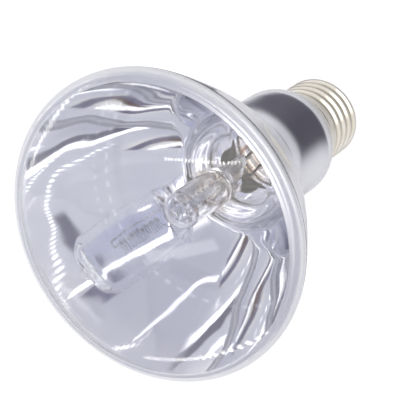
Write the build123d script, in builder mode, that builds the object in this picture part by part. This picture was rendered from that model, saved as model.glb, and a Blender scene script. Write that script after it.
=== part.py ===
"""Reflector spot lamp with a halogen capsule and an E27 screw cap, in millimetres.

The lamp's axis is Z. The end of the centre contact is at z = 0 and the clear front faces +Z.
The flat pinch of the capsule and the two leads lie in the XZ plane.
"""

import os
from math import asin, atan2, cos, degrees, radians, sin, sqrt

from build123d import *

os.makedirs("parts", exist_ok=True)

# Blown envelope: a domed front, a tight rim corner, the bowl, a throat, a barrel neck and a straight tail
rim_diameter = 95.0
corner_radius = 4.0
crown_radius = 109.0
bowl_slope = 24.5
bowl_depth = 49.0
throat_radius = 20.2
throat_fillet = 5.0
neck_turn = 10.3
neck_length = 22.4
barrel_length = 5.0
shoulder_turn = 50.0
collar_radius = 4.9
collar_inset = 2.15
tail_clearance = 0.65
glass_wall = 1.3

# Screw cap: rolled sheet with an E27 knuckle thread, held over the insulator by its lip
sheet = 0.3
thread_pitch = 3.629
thread_crest_radius = 13.15
thread_depth = 1.0
thread_length = 15.6
run_out = 0.2
root_relief = 0.02
lip_inset = 1.15
lip_rise = 1.8
skirt_step = 0.05
skirt_flare = 1.0
skirt_length = 1.7

# Solder, eyelet contact and insulator at the cap's end, and the cement in its skirt
solder_height = 0.8
solder_radius = 3.2
solder_flat_radius = 1.8
contact_radius = 4.8
contact_thickness = 0.6
contact_hole_radius = 0.7
insulator_face_radius = 5.6
insulator_depth = 3.5
insulator_grip = 1.3
insulator_dish_radius = 8.0
insulator_floor = 3.2
insulator_bore_radius = 1.2
cement_foot = 0.2
cement_recess = 0.6
side_solder_radius = 1.1

# Stem: flare fused to the envelope's tail, tube, flat press and exhaust tube
flare_gap = 1.3
flare_bend = 4.0
stem_radius = 4.6
stem_wall = 1.0
stem_length = 22.1
press_taper = 4.0
press_length = 7.0
press_width = 10.0
press_thickness = 3.0
exhaust_radius = 1.9
exhaust_wall = 0.7
exhaust_drop = 3.0
exhaust_hole_radius = 0.6
exhaust_hole_lift = 1.6

# Leads: copper below the press, seal wire in it and stiff wire above it
lead_x = 2.9
outer_lead_radius = 0.25
seal_wire_radius = 0.2
inner_lead_radius = 0.4
seal_inset = 0.6
seal_embed = 2.4
lead_bend = 1.6
lead_run = 2.0
lead_spread = 5.4
elbow_rise = 6.5
pinch_clearance = 0.6
centre_elbow_drop = 3.1
side_run_gap = 1.6
rim_lead_inset = 0.4

# Capsule: blunt quartz body with a low exhaust tip, closed by a flat pinch with thicker edges
capsule_lift = 17.5
capsule_radius = 5.75
capsule_wall = 1.1
pinch_length = 10.0
pinch_width = 10.8
pinch_thickness = 2.6
pinch_bead_radius = 1.8
pinch_shoulder = 4.5
body_length = 20.8
nose_bend = 3.6
tip_root_radius = 1.8
tip_length = 1.3
tip_radius = 1.1
cavity_lift = 2.5
foil_width = 2.6
foil_thickness = 0.1
foil_length = 8.6
foil_inset = 2.1
pin_x = 2.4
pin_radius = 0.45
pin_reach = 6.5
pin_weld = 2.9
weld_flat = 0.08

# Filament: an axial coil with one leg up to each end
filament_radius = 0.2
coil_wall = 0.6
coil_radius = 1.0
coil_length = 12.0
coil_lift = 3.0
leg_weld = 2.6
leg_bend = 0.5
leg_rise = 1.2

# Heights of the cap, counted up from the solder
contact_top = solder_height + contact_thickness
lip_height = contact_top + insulator_depth
root_height = lip_height + lip_rise
skirt_start = root_height + thread_length
skirt_height = skirt_start + skirt_flare
cap_top = skirt_height + skirt_length
insulator_top = root_height + insulator_grip
insulator_dish_height = contact_top + insulator_floor
cement_bottom = skirt_height + cement_foot
cement_top = cap_top - cement_recess

# Radii that fit one inside the other, from the thread's crest to the glass tail
thread_root_radius = thread_crest_radius - thread_depth
root_bore_radius = thread_root_radius - sheet
lip_radius = root_bore_radius - lip_inset
skirt_bore_radius = thread_crest_radius - skirt_step - sheet
tail_radius = root_bore_radius - tail_clearance
side_rise_radius = (root_bore_radius + tail_radius) / 2
rim_rise_radius = skirt_bore_radius - rim_lead_inset

# Heights of the stem and its leads
side_run_height = insulator_top + side_run_gap
tail_end = side_run_height + flare_gap + stem_wall
exhaust_tip = tail_end - exhaust_drop
centre_elbow = exhaust_tip - centre_elbow_drop
stem_shoulder = tail_end + stem_length
press_bottom = stem_shoulder + press_taper
press_top = press_bottom + press_length
seal_bottom = press_bottom + seal_inset
seal_top = press_top - seal_embed
lead_elbow = press_top + elbow_rise

# Heights of the capsule and what it holds
pinch_bottom = press_top + capsule_lift
pinch_top = pinch_bottom + pinch_length
body_bottom = pinch_top + pinch_shoulder
body_top = body_bottom + body_length
nose_height = body_top + nose_bend
tip_height = nose_height + tip_length
cavity_radius = capsule_radius - capsule_wall
foil_bottom = pinch_bottom + foil_inset
pin_bottom = pinch_bottom - pin_reach
pin_top = foil_bottom + pin_weld
pin_y = foil_thickness / 2 + pin_radius - weld_flat
inner_lead_x = pin_x + pin_radius + inner_lead_radius
leg_bottom = foil_bottom + foil_length - leg_weld
leg_y = foil_thickness / 2 + filament_radius - weld_flat
coil_bottom = body_bottom + coil_lift
coil_top = coil_bottom + coil_length

# Arcs of the envelope's outline, from the rim's corner down to the collar in the cap
rim_radius = rim_diameter / 2
corner_x = rim_radius - corner_radius
crown_reach = crown_radius - corner_radius
crown_angle = degrees(asin(corner_x / crown_reach))
bowl_top_radius = corner_x + corner_radius * cos(radians(bowl_slope))
bowl_rise = bowl_depth - corner_radius * sin(radians(bowl_slope))
bowl_end_slope = 2 * degrees(atan2(bowl_top_radius - throat_radius, bowl_rise)) - bowl_slope
throat_drop = throat_fillet * (sin(radians(bowl_end_slope)) - sin(radians(neck_turn)))
throat_step = throat_fillet * (cos(radians(neck_turn)) - cos(radians(bowl_end_slope)))
neck_blend = (neck_length - throat_drop) / sin(radians(neck_turn))
barrel_radius = throat_radius - throat_step - neck_blend * (1 - cos(radians(neck_turn)))
shoulder_reach = (barrel_radius - tail_radius) / (1 - cos(radians(shoulder_turn)))
shoulder_radius = shoulder_reach - collar_radius
barrel_bottom = cap_top - collar_inset + shoulder_reach * sin(radians(shoulder_turn))
throat_height = barrel_bottom + barrel_length + neck_length
rim_height = throat_height + bowl_depth
crown_centre = rim_height - sqrt(crown_reach**2 - corner_x**2)
side_names = ((-1, "left"), (1, "right"))

# One drawn outline from the crown to the tail, thickened inwards
with BuildPart() as glass_envelope:
    with BuildSketch(Plane.XZ):
        with BuildLine():
            CenterArc((0, crown_centre), crown_radius, 90, -crown_angle)
            corner = CenterArc(
                (corner_x, rim_height), corner_radius, 90 - crown_angle, crown_angle - 90 - bowl_slope
            )
            bowl = TangentArc(corner @ 1, (throat_radius, throat_height), tangent=corner % 1)
            throat = JernArc(bowl @ 1, bowl % 1, throat_fillet, bowl_end_slope - neck_turn)
            neck = JernArc(throat @ 1, throat % 1, neck_blend, neck_turn)
            barrel = Line(neck @ 1, neck @ 1 - (0, barrel_length))
            shoulder = JernArc(barrel @ 1, barrel % 1, shoulder_radius, -shoulder_turn)
            collar = JernArc(shoulder @ 1, shoulder % 1, collar_radius, shoulder_turn)
            Line(collar @ 1, (tail_radius, tail_end))
            offset(amount=glass_wall, side=Side.RIGHT)
        make_face()
    revolve(axis=Axis.Z)
glass_envelope.part.label = "glass_envelope"
export_step(glass_envelope.part, "parts/glass_envelope.step")

# The foils, pins and filament come first, so that the quartz can close on them
sealed_in_quartz = []
for side, side_name in side_names:
    with BuildPart() as foil:
        with Locations((side * pin_x, 0, foil_bottom + foil_length / 2)):
            Box(foil_width, foil_thickness, foil_length)
    foil.part.label = f"foil_{side_name}"
    export_step(foil.part, f"parts/foil_{side_name}.step")

    with BuildPart() as capsule_pin:
        with BuildSketch(Plane.XY.offset(pin_bottom)):
            with Locations((side * pin_x, pin_y)):
                Circle(pin_radius)
        extrude(amount=pin_top - pin_bottom)
        add(foil.part, mode=Mode.SUBTRACT)
    capsule_pin.part.label = f"capsule_pin_{side_name}"
    export_step(capsule_pin.part, f"parts/capsule_pin_{side_name}.step")
    sealed_in_quartz += [foil.part, capsule_pin.part]

# The coil's turns are one sleeve, fed from below by a short leg and from above by a long one beside it
with BuildPart() as filament:
    with BuildSketch(Plane.XY.offset(coil_bottom)):
        Circle(coil_radius + coil_wall / 2)
        Circle(coil_radius - coil_wall / 2, mode=Mode.SUBTRACT)
    extrude(amount=coil_length)
    with BuildLine():
        short_leg = FilletPolyline(
            (pin_x, leg_y, leg_bottom),
            (pin_x, leg_y, coil_bottom - leg_rise),
            (coil_radius, 0, coil_bottom - leg_rise),
            (coil_radius, 0, coil_bottom + filament_radius),
            radius=leg_bend,
        )
    with BuildSketch(Plane(short_leg @ 0, z_dir=short_leg % 0)):
        Circle(filament_radius)
    sweep(path=short_leg)
    with BuildLine():
        long_leg = FilletPolyline(
            (-pin_x, leg_y, leg_bottom),
            (-pin_x, leg_y, coil_top + leg_rise),
            (-coil_radius, 0, coil_top + leg_rise),
            (-coil_radius, 0, coil_top - filament_radius),
            radius=leg_bend,
        )
    with BuildSketch(Plane(long_leg @ 0, z_dir=long_leg % 0)):
        Circle(filament_radius)
    sweep(path=long_leg)
    for sealed in sealed_in_quartz:
        add(sealed, mode=Mode.SUBTRACT)
filament.part.label = "filament"
export_step(filament.part, "parts/filament.step")
sealed_in_quartz.append(filament.part)

# Turned body, lofted shoulder and pinch, hollowed and then closed on the foils, pins and legs
with BuildPart() as capsule_glass:
    with BuildSketch(Plane.XZ):
        with BuildLine():
            tip = CenterArc((0, tip_height - tip_radius), tip_radius, 90, -90)
            nose = CenterArc((capsule_radius - nose_bend, body_top), nose_bend, 90, -90)
            Polyline(tip @ 1, (tip_root_radius, nose_height), nose @ 0)
            body = Line(nose @ 1, (capsule_radius, body_bottom))
            Polyline(body @ 1, (0, body_bottom), tip @ 0)
        make_face()
    revolve(axis=Axis.Z)
    with BuildSketch(Plane.XY.offset(body_bottom)):
        Circle(capsule_radius)
    with BuildSketch(Plane.XY.offset(pinch_top)):
        SlotOverall(pinch_width, 2 * pinch_bead_radius)
    loft()
    with BuildSketch(Plane.XY.offset(pinch_bottom)):
        Rectangle(pinch_width - 2 * pinch_bead_radius, pinch_thickness)
        with GridLocations(pinch_width - 2 * pinch_bead_radius, 0, 2, 1):
            Circle(pinch_bead_radius)
    extrude(amount=pinch_top - pinch_bottom)
    with BuildSketch(Plane.XZ):
        with BuildLine():
            roof = CenterArc((capsule_radius - nose_bend, body_top), nose_bend - capsule_wall, 90, -90)
            side_wall = Line(roof @ 1, (cavity_radius, body_bottom + cavity_lift))
            floor = CenterArc((0, body_bottom + cavity_lift), cavity_radius, 0, -90)
            Polyline(floor @ 1, (0, nose_height - capsule_wall), roof @ 0)
        make_face()
    revolve(axis=Axis.Z, mode=Mode.SUBTRACT)
    for sealed in sealed_in_quartz:
        add(sealed, mode=Mode.SUBTRACT)
capsule_glass.part.label = "capsule_glass"
export_step(capsule_glass.part, "parts/capsule_glass.step")

# Each lead is a stiff wire above the press, a seal wire in it and a copper wire below it
sealed_in_stem = []
for side, side_name in side_names:
    with BuildPart() as seal_wire:
        with BuildSketch(Plane.XY.offset(seal_bottom)):
            with Locations((side * lead_x, 0)):
                Circle(seal_wire_radius)
        extrude(amount=seal_top - seal_bottom)
    seal_wire.part.label = f"seal_wire_{side_name}"
    export_step(seal_wire.part, f"parts/seal_wire_{side_name}.step")

    with BuildPart() as inner_lead:
        with BuildLine():
            rise = FilletPolyline(
                (side * lead_x, 0, seal_top),
                (side * lead_x, 0, press_top + lead_run),
                (side * lead_spread, pin_y / 2, lead_elbow),
                (side * inner_lead_x, pin_y, pin_bottom + lead_run),
                (side * inner_lead_x, pin_y, pinch_bottom - pinch_clearance),
                radius=lead_bend,
            )
        with BuildSketch(Plane(rise @ 0, z_dir=rise % 0)):
            Circle(inner_lead_radius)
        sweep(path=rise)
    inner_lead.part.label = f"inner_lead_{side_name}"
    export_step(inner_lead.part, f"parts/inner_lead_{side_name}.step")
    sealed_in_stem += [seal_wire.part, inner_lead.part]

with BuildPart() as centre_lead:
    with BuildLine():
        drop = FilletPolyline(
            (lead_x, 0, seal_bottom), (lead_x, 0, exhaust_tip), (0, 0, centre_elbow), (0, 0, solder_height / 2),
            radius=lead_bend,
        )
    with BuildSketch(Plane(drop @ 0, z_dir=drop % 0)):
        Circle(outer_lead_radius)
    sweep(path=drop)
centre_lead.part.label = "centre_lead"
export_step(centre_lead.part, "parts/centre_lead.step")

with BuildPart() as side_lead:
    with BuildLine():
        turn = FilletPolyline(
            (-lead_x, 0, seal_bottom),
            (-lead_x, 0, side_run_height),
            (-side_rise_radius, 0, side_run_height),
            (-side_rise_radius, 0, skirt_start),
            (-rim_rise_radius, 0, cap_top + outer_lead_radius),
            radius=lead_bend,
        )
    with BuildSketch(Plane(turn @ 0, z_dir=turn % 0)):
        Circle(outer_lead_radius)
    sweep(path=turn)
side_lead.part.label = "side_lead"
export_step(side_lead.part, "parts/side_lead.step")
sealed_in_stem += [centre_lead.part, side_lead.part]

# Flared tube flattened into the press, with the exhaust tube inside it
with BuildPart() as glass_stem:
    with BuildSketch(Plane.XZ):
        with BuildLine():
            rim = Line((tail_radius, tail_end), (stem_radius + flare_bend, tail_end))
            trumpet = JernArc(rim @ 1, rim % 1, flare_bend, -90)
            Line(trumpet @ 1, (stem_radius, stem_shoulder))
            offset(amount=stem_wall, side=Side.LEFT)
        make_face()
    revolve(axis=Axis.Z)
    with BuildSketch(Plane.XY.offset(stem_shoulder)):
        Circle(stem_radius)
    with BuildSketch(Plane.XY.offset(press_bottom)):
        SlotOverall(press_width, press_thickness)
    loft()
    with BuildSketch(Plane.XY.offset(press_bottom)):
        SlotOverall(press_width, press_thickness)
    extrude(amount=press_top - press_bottom)
    with BuildSketch(Plane.XZ):
        with BuildLine():
            end = CenterArc((0, exhaust_tip + exhaust_radius), exhaust_radius, -90, 90)
            Polyline(end @ 1, (exhaust_radius, press_bottom), (0, press_bottom), end @ 0)
        make_face()
    revolve(axis=Axis.Z)
    with BuildSketch(Plane.XY.offset(exhaust_tip + exhaust_radius)):
        Circle(exhaust_radius - exhaust_wall)
    extrude(amount=stem_shoulder + exhaust_hole_lift - exhaust_tip - exhaust_radius, mode=Mode.SUBTRACT)
    with BuildSketch(Plane.XZ.offset(-stem_radius)):
        with Locations((0, stem_shoulder + exhaust_hole_lift)):
            Circle(exhaust_hole_radius)
    extrude(amount=stem_radius, mode=Mode.SUBTRACT)
    for sealed in sealed_in_stem:
        add(sealed, mode=Mode.SUBTRACT)
glass_stem.part.label = "glass_stem"
export_step(glass_stem.part, "parts/glass_stem.step")

# The knuckle thread is an eccentric disc twisted once a pitch, run out to a cone at both ends
with BuildSketch(Plane.XY.offset(lip_height)) as screw_section:
    with Locations((thread_depth / 2, 0)):
        Circle(thread_crest_radius - thread_depth / 2)

with BuildPart() as cap_shell:
    add(
        Solid.extrude_linear_with_rotation(
            screw_section.sketch.face(),
            (0, 0, lip_height),
            (0, 0, cap_top - lip_height),
            360 * (cap_top - lip_height) / thread_pitch,
        )
    )
    with BuildSketch(Plane.XZ):
        Polygon(
            (0, root_height - run_out),
            (thread_root_radius - run_out, root_height - run_out),
            (thread_crest_radius + run_out, root_height + thread_depth + run_out),
            (thread_crest_radius + run_out, skirt_start + thread_depth + run_out),
            (thread_root_radius - run_out, skirt_start - run_out),
            (0, skirt_start - run_out),
            align=None,
        )
    revolve(axis=Axis.Z, mode=Mode.INTERSECT)
    with BuildSketch(Plane.XZ):
        Polygon(
            (0, lip_height),
            (lip_radius + sheet, lip_height),
            (thread_root_radius - root_relief, root_height),
            (thread_root_radius - root_relief, skirt_start),
            (skirt_bore_radius + sheet, skirt_height),
            (skirt_bore_radius + sheet, cap_top),
            (0, cap_top),
            align=None,
        )
    revolve(axis=Axis.Z)
    with BuildSketch(Plane.XZ):
        Polygon(
            (0, lip_height),
            (lip_radius, lip_height),
            (root_bore_radius, root_height),
            (root_bore_radius, skirt_start),
            (skirt_bore_radius, skirt_height),
            (skirt_bore_radius, cap_top),
            (0, cap_top),
            align=None,
        )
    revolve(axis=Axis.Z, mode=Mode.SUBTRACT)
cap_shell.part.label = "cap_shell"
export_step(cap_shell.part, "parts/cap_shell.step")

with BuildPart() as cap_cement:
    with BuildSketch(Plane.XZ):
        with Locations((0, cement_bottom)):
            Rectangle(skirt_bore_radius, cement_top - cement_bottom, align=(Align.MIN, Align.MIN))
            Rectangle(
                tail_radius - glass_wall / 2, cement_top - cement_bottom, align=(Align.MIN, Align.MIN),
                mode=Mode.SUBTRACT,
            )
    revolve(axis=Axis.Z)
    add(glass_envelope.part, mode=Mode.SUBTRACT)
    add(side_lead.part, mode=Mode.SUBTRACT)
cap_cement.part.label = "cap_cement"
export_step(cap_cement.part, "parts/cap_cement.step")

with BuildPart() as cap_insulator:
    with BuildSketch(Plane.XZ):
        with BuildLine():
            Polyline(
                (insulator_bore_radius, contact_top),
                (insulator_face_radius, contact_top),
                (lip_radius, lip_height),
                (root_bore_radius, root_height),
                (root_bore_radius, insulator_top),
                (insulator_dish_radius, insulator_top),
                (insulator_bore_radius, insulator_dish_height),
                close=True,
            )
        make_face()
    revolve(axis=Axis.Z)
cap_insulator.part.label = "cap_insulator"
export_step(cap_insulator.part, "parts/cap_insulator.step")

with BuildPart() as centre_contact:
    with BuildSketch(Plane.XY.offset(solder_height)):
        Circle(contact_radius)
        Circle(contact_hole_radius, mode=Mode.SUBTRACT)
    extrude(amount=contact_thickness)
    chamfer(centre_contact.edges().group_by(Axis.Z)[0].sort_by(SortBy.RADIUS)[-1], sheet)
centre_contact.part.label = "centre_contact"
export_step(centre_contact.part, "parts/centre_contact.step")

with BuildPart() as centre_solder:
    with BuildSketch(Plane.XZ):
        with BuildLine():
            face = Line((0, 0), (solder_flat_radius, 0))
            dome = TangentArc(face @ 1, (solder_radius, solder_height), tangent=(1, 0))
            Polyline(
                dome @ 1, (contact_hole_radius, solder_height), (contact_hole_radius, contact_top), (0, contact_top),
                face @ 0,
            )
        make_face()
    revolve(axis=Axis.Z)
    add(centre_lead.part, mode=Mode.SUBTRACT)
centre_solder.part.label = "centre_solder"
export_step(centre_solder.part, "parts/centre_solder.step")

with BuildPart() as side_solder:
    with Locations((-skirt_bore_radius, 0, cap_top)):
        Sphere(side_solder_radius)
    for neighbour in (glass_envelope.part, cap_shell.part, cap_cement.part, side_lead.part):
        add(neighbour, mode=Mode.SUBTRACT)
side_solder.part.label = "side_solder"
export_step(side_solder.part, "parts/side_solder.step")
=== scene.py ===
"""Basking spot lamp: a mirrored reflector lamp with a halogen capsule, dressed in its finishes.

Lengths are in metres and angles in degrees. The lamp's axis is Z, the end of its centre contact is at
z = 0 and its clear front faces +Z. The flat pinch of the capsule and the two leads lie in the XZ plane.
"""

import logging
import math
from dataclasses import dataclass, field
from enum import Enum

import bmesh
import bpy
from mathutils import Matrix, Vector, noise


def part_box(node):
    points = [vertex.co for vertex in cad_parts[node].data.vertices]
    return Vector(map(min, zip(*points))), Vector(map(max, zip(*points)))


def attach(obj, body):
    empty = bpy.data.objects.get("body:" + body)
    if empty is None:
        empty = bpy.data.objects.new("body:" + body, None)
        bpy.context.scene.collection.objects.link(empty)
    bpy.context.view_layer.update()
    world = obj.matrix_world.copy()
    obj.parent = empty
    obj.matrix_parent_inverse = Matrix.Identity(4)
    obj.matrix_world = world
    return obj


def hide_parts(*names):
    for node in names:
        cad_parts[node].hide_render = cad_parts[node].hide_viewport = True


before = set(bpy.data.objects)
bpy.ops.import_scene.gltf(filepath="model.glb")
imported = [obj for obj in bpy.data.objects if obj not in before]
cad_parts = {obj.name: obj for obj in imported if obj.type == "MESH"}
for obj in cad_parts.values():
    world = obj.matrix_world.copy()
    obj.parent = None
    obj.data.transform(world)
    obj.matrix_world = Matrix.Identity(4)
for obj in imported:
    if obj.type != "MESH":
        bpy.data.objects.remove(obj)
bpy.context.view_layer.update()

log = logging.getLogger("basking_spot_lamp")

MM = 0.001
BODY = "root"
SATIN = "satin"
SHARP_ANGLE = math.radians(38)
UP = Vector((0.0, 0.0, 1.0))
WHITE = (1.0, 1.0, 1.0)

# The cap's thread, which its shell and its finish share
THREAD_CREST = 13.15 * MM
THREAD_DEPTH = 1.0 * MM

# Detail of the grain and its clouds, and where a cloud begins and is full
FINE_DETAIL = 3.0
CLOUD_DETAIL = 2.0
CLOUD_EDGES = (0.3, 0.7)

# Points in a turn of the filament, round its wire and its legs, and in a bend of a leg
TURN_POINTS = 20
WIRE_SIDES = 8
LEG_SIDES = 12
BEND_POINTS = 6

# Where a light of a beaded strip or hoop begins and is full, and where a hoop's ends fade, as cosines
STRIP_BEADS = (-0.1, 0.8)
HOOP_BEADS = (-0.4, 0.6)
HOOP_ENDS = (-0.1, 0.1)

Colour = tuple[float, float, float]
Station = tuple[float, float, float]
Loop = list[tuple[float, float]]
Socket = bpy.types.NodeSocket
Value = bpy.types.NodeSocket | float | tuple


class Direction(Enum):
    """How a surface's fine lines run, as the stretch of its grain along X, Y and Z."""

    EVEN = (1.0, 1.0, 1.0)
    ROUND = (0.06, 0.06, 1.0)
    ALONG = (1.0, 1.0, 0.06)


def rgba(colour: Colour) -> tuple[float, float, float, float]:
    """Returns the colour with full opacity."""
    return (*colour, 1.0)


class Nodes:
    """Adds nodes to one tree, with each input either a number or another node's output."""

    def __init__(self, tree: bpy.types.NodeTree) -> None:
        """Keeps the shader, world or geometry node tree that the nodes go into."""
        self.tree = tree

    def add(
        self, kind: str, inputs: dict[str | int, Value] | None = None, **settings: object
    ) -> bpy.types.Node:
        """Adds one node.

        Args:
            kind: the node's type name.
            inputs: values or output sockets by input name or place.
            settings: properties of the node.

        Returns:
            The new node.
        """
        node = self.tree.nodes.new(kind)
        for name, value in settings.items():
            setattr(node, name, value)
        for key, value in (inputs or {}).items():
            self.feed(node.inputs[key], value)
        return node

    def feed(self, socket: Socket, value: Value) -> None:
        """Links an output to a socket, or sets the socket's own value.

        Args:
            socket: the input socket.
            value: another node's output, or a plain value.
        """
        if isinstance(value, bpy.types.NodeSocket):
            self.tree.links.new(value, socket)
        else:
            socket.default_value = value

    def math(self, operation: str, *values: Value) -> Socket:
        """Returns the output of a Math node with the given operation and values."""
        return self.add("ShaderNodeMath", dict(enumerate(values)), operation=operation).outputs[0]

    def vector(self, operation: str, *values: Value) -> Socket:
        """Returns the vector output of a Vector Math node."""
        node = self.add("ShaderNodeVectorMath", dict(enumerate(values)), operation=operation)
        return node.outputs["Vector"]

    def dot(self, first: Value, second: Value) -> Socket:
        """Returns the dot product of two vectors."""
        node = self.add("ShaderNodeVectorMath", {0: first, 1: second}, operation="DOT_PRODUCT")
        return node.outputs["Value"]

    def length(self, vector: Value) -> Socket:
        """Returns the length of a vector."""
        return self.add("ShaderNodeVectorMath", {0: vector}, operation="LENGTH").outputs["Value"]

    def split(self, vector: Value) -> list[Socket]:
        """Returns the X, Y and Z of a vector."""
        return list(self.add("ShaderNodeSeparateXYZ", {0: vector}).outputs)

    def place(self) -> Socket:
        """Returns the place on the surface, in the piece's own coordinates."""
        return self.add("ShaderNodeTexCoord").outputs["Object"]

    def ramp(self, value: Value, low: float, high: float, start: float = 0.0, end: float = 1.0) -> Socket:
        """Eases a value from one range to another.

        Args:
            value: the value's socket.
            low: where the ease begins.
            high: where it ends.
            start: the result at and below low.
            end: the result at and above high.

        Returns:
            The eased value's socket.
        """
        inputs = {"Value": value, "From Min": low, "From Max": high, "To Min": start, "To Max": end}
        return self.add("ShaderNodeMapRange", inputs, interpolation_type="SMOOTHSTEP").outputs["Result"]

    def mix(self, factor: Value, first: Value, second: Value) -> Socket:
        """Mixes two colours.

        Args:
            factor: the second colour's share.
            first: the colour where the factor is 0, as a socket or a plain colour.
            second: the colour where it is 1.

        Returns:
            The mixed colour's socket.
        """
        node = self.add("ShaderNodeMix", data_type="RGBA")
        self.feed(node.inputs["Factor"], factor)
        colours = [socket for socket in node.inputs if socket.type == "RGBA"]
        for socket, colour in zip(colours, (first, second)):
            self.feed(socket, rgba(colour) if isinstance(colour, tuple) else colour)
        return next(socket for socket in node.outputs if socket.type == "RGBA")

    def group(self, tree: bpy.types.NodeTree, **inputs: Value) -> bpy.types.Node:
        """Places a shader node group with its own values.

        Args:
            tree: the group.
            inputs: the value of each input, named with underscores for spaces.

        Returns:
            The group's node.
        """
        node = self.add("ShaderNodeGroup", node_tree=tree)
        for name, value in inputs.items():
            self.feed(node.inputs[name.replace("_", " ")], value)
        return node


def new_group(
    name: str, kind: str, inputs: dict[str, str], outputs: dict[str, str]
) -> tuple[Nodes, dict[str, Socket], dict[str, Socket]]:
    """Starts a node group with named sockets.

    Args:
        name: the group's name.
        kind: "ShaderNodeTree" or "GeometryNodeTree".
        inputs: each input's name and its type, such as Float.
        outputs: each output's name and its type.

    Returns:
        The group's nodes, its input sockets to read from and its output sockets to feed, by name.
    """
    tree = bpy.data.node_groups.new(name, kind)
    for in_out, sockets in (("INPUT", inputs), ("OUTPUT", outputs)):
        for label, socket_type in sockets.items():
            tree.interface.new_socket(name=label, in_out=in_out, socket_type=f"NodeSocket{socket_type}")
    nodes = Nodes(tree)
    entry = nodes.add("NodeGroupInput").outputs
    leave = nodes.add("NodeGroupOutput").inputs
    return nodes, {label: entry[label] for label in inputs}, {label: leave[label] for label in outputs}


def grain_group() -> bpy.types.NodeTree:
    """Makes the fine grain that every finish uses: a cloudy mask, and a height for fine lines or pits.

    Returns:
        The shader node group, with a size and a stretch going in.
    """
    nodes, given, result = new_group(
        "surface_grain", "ShaderNodeTree",
        {"Size": "Float", "Stretch": "Vector", "Cloud Size": "Float"},
        {"Fine": "Float", "Cloud": "Float"},
    )
    place = nodes.place()
    fine = nodes.add("ShaderNodeTexNoise", {
        "Vector": nodes.vector("MULTIPLY", place, given["Stretch"]),
        "Scale": nodes.math("DIVIDE", 1.0, given["Size"]), "Detail": FINE_DETAIL,
    })
    cloud = nodes.add("ShaderNodeTexNoise", {
        "Vector": place, "Scale": nodes.math("DIVIDE", 1.0, given["Cloud Size"]), "Detail": CLOUD_DETAIL,
    })
    nodes.feed(result["Fine"], fine.outputs[0])
    nodes.feed(result["Cloud"], nodes.ramp(cloud.outputs[0], *CLOUD_EDGES))
    return nodes.tree


@dataclass(frozen=True)
class Finish:
    """A finish whose colour, gloss and relief change a little over the surface.

    Attributes:
        name: the material's name.
        base: the main colour.
        shade: the colour that the clouds turn to.
        gloss: roughness where the clouds are thin and where they are thick.
        metallic: 1 for a metal.
        grain: size of the fine lines or pits.
        cloud: size of the clouds.
        relief: depth of the fine lines.
        direction: how the lines run.
        coat: weight of a clear coat.
    """

    name: str
    base: Colour
    shade: Colour
    gloss: tuple[float, float]
    metallic: float = 1.0
    grain: float = 0.3 * MM
    cloud: float = 4 * MM
    relief: float = 0.01 * MM
    direction: Direction = Direction.EVEN
    coat: float = 0.0

    def colour(self, nodes: Nodes, cloud: Socket) -> Socket:
        """Returns the colour's socket, mixed by the clouds."""
        return nodes.mix(cloud, self.base, self.shade)

    def start(self, grain: bpy.types.NodeTree) -> tuple[bpy.types.Material, Nodes, bpy.types.Node]:
        """Makes the material with its grain, clouds and relief.

        Args:
            grain: the shared grain group.

        Returns:
            The material, its nodes and its Principled shader.
        """
        material = bpy.data.materials.new(self.name)
        material.use_nodes = True
        nodes = Nodes(material.node_tree)
        shader = material.node_tree.nodes["Principled BSDF"]
        surface = nodes.group(grain, Size=self.grain, Stretch=self.direction.value, Cloud_Size=self.cloud)
        cloud = surface.outputs["Cloud"]
        nodes.feed(shader.inputs["Base Color"], self.colour(nodes, cloud))
        nodes.feed(shader.inputs["Roughness"], nodes.ramp(cloud, 0.0, 1.0, *self.gloss))
        bump = nodes.add("ShaderNodeBump", {"Height": surface.outputs["Fine"], "Distance": self.relief})
        nodes.feed(shader.inputs["Normal"], bump.outputs["Normal"])
        shader.inputs["Metallic"].default_value = self.metallic
        shader.inputs["Coat Weight"].default_value = self.coat
        return material, nodes, shader

    def make(self, grain: bpy.types.NodeTree) -> bpy.types.Material:
        """Returns the finished material, with the shared grain group in it."""
        return self.start(grain)[0]


@dataclass(frozen=True)
class GlassFinish(Finish):
    """A clear glass with the faint waves of blown or pressed work.

    Attributes:
        ior: index of refraction.
    """

    ior: float = 1.5

    def make(self, grain: bpy.types.NodeTree) -> bpy.types.Material:
        """Makes the material and turns it clear.

        Args:
            grain: the shared grain group.

        Returns:
            The finished material.
        """
        material, _, shader = self.start(grain)
        shader.inputs["Metallic"].default_value = 0.0
        shader.inputs["Transmission Weight"].default_value = 1.0
        shader.inputs["IOR"].default_value = self.ior
        return material


@dataclass(frozen=True)
class ThreadFinish(Finish):
    """A rolled metal that is darker and browner in the roots of its thread.

    Attributes:
        root_radius: radius at the thread's roots.
        crest_radius: radius at its crests.
        root_colour: the darker colour in the roots.
    """

    root_radius: float = THREAD_CREST - THREAD_DEPTH
    crest_radius: float = THREAD_CREST
    root_colour: Colour = (0.6, 0.55, 0.42)

    def colour(self, nodes: Nodes, cloud: Socket) -> Socket:
        """Mixes the colour by the clouds and turns it to the darker root colour where the radius is small.

        Args:
            nodes: the material's nodes.
            cloud: the clouds' mask.

        Returns:
            The colour's socket.
        """
        radius = nodes.length(nodes.vector("MULTIPLY", nodes.place(), (1.0, 1.0, 0.0)))
        # The colour turns darker and browner towards the thread's roots.
        height = nodes.ramp(radius, self.root_radius, (self.root_radius + self.crest_radius) / 2)
        return nodes.mix(height, self.root_colour, nodes.mix(cloud, self.base, self.shade))


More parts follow.
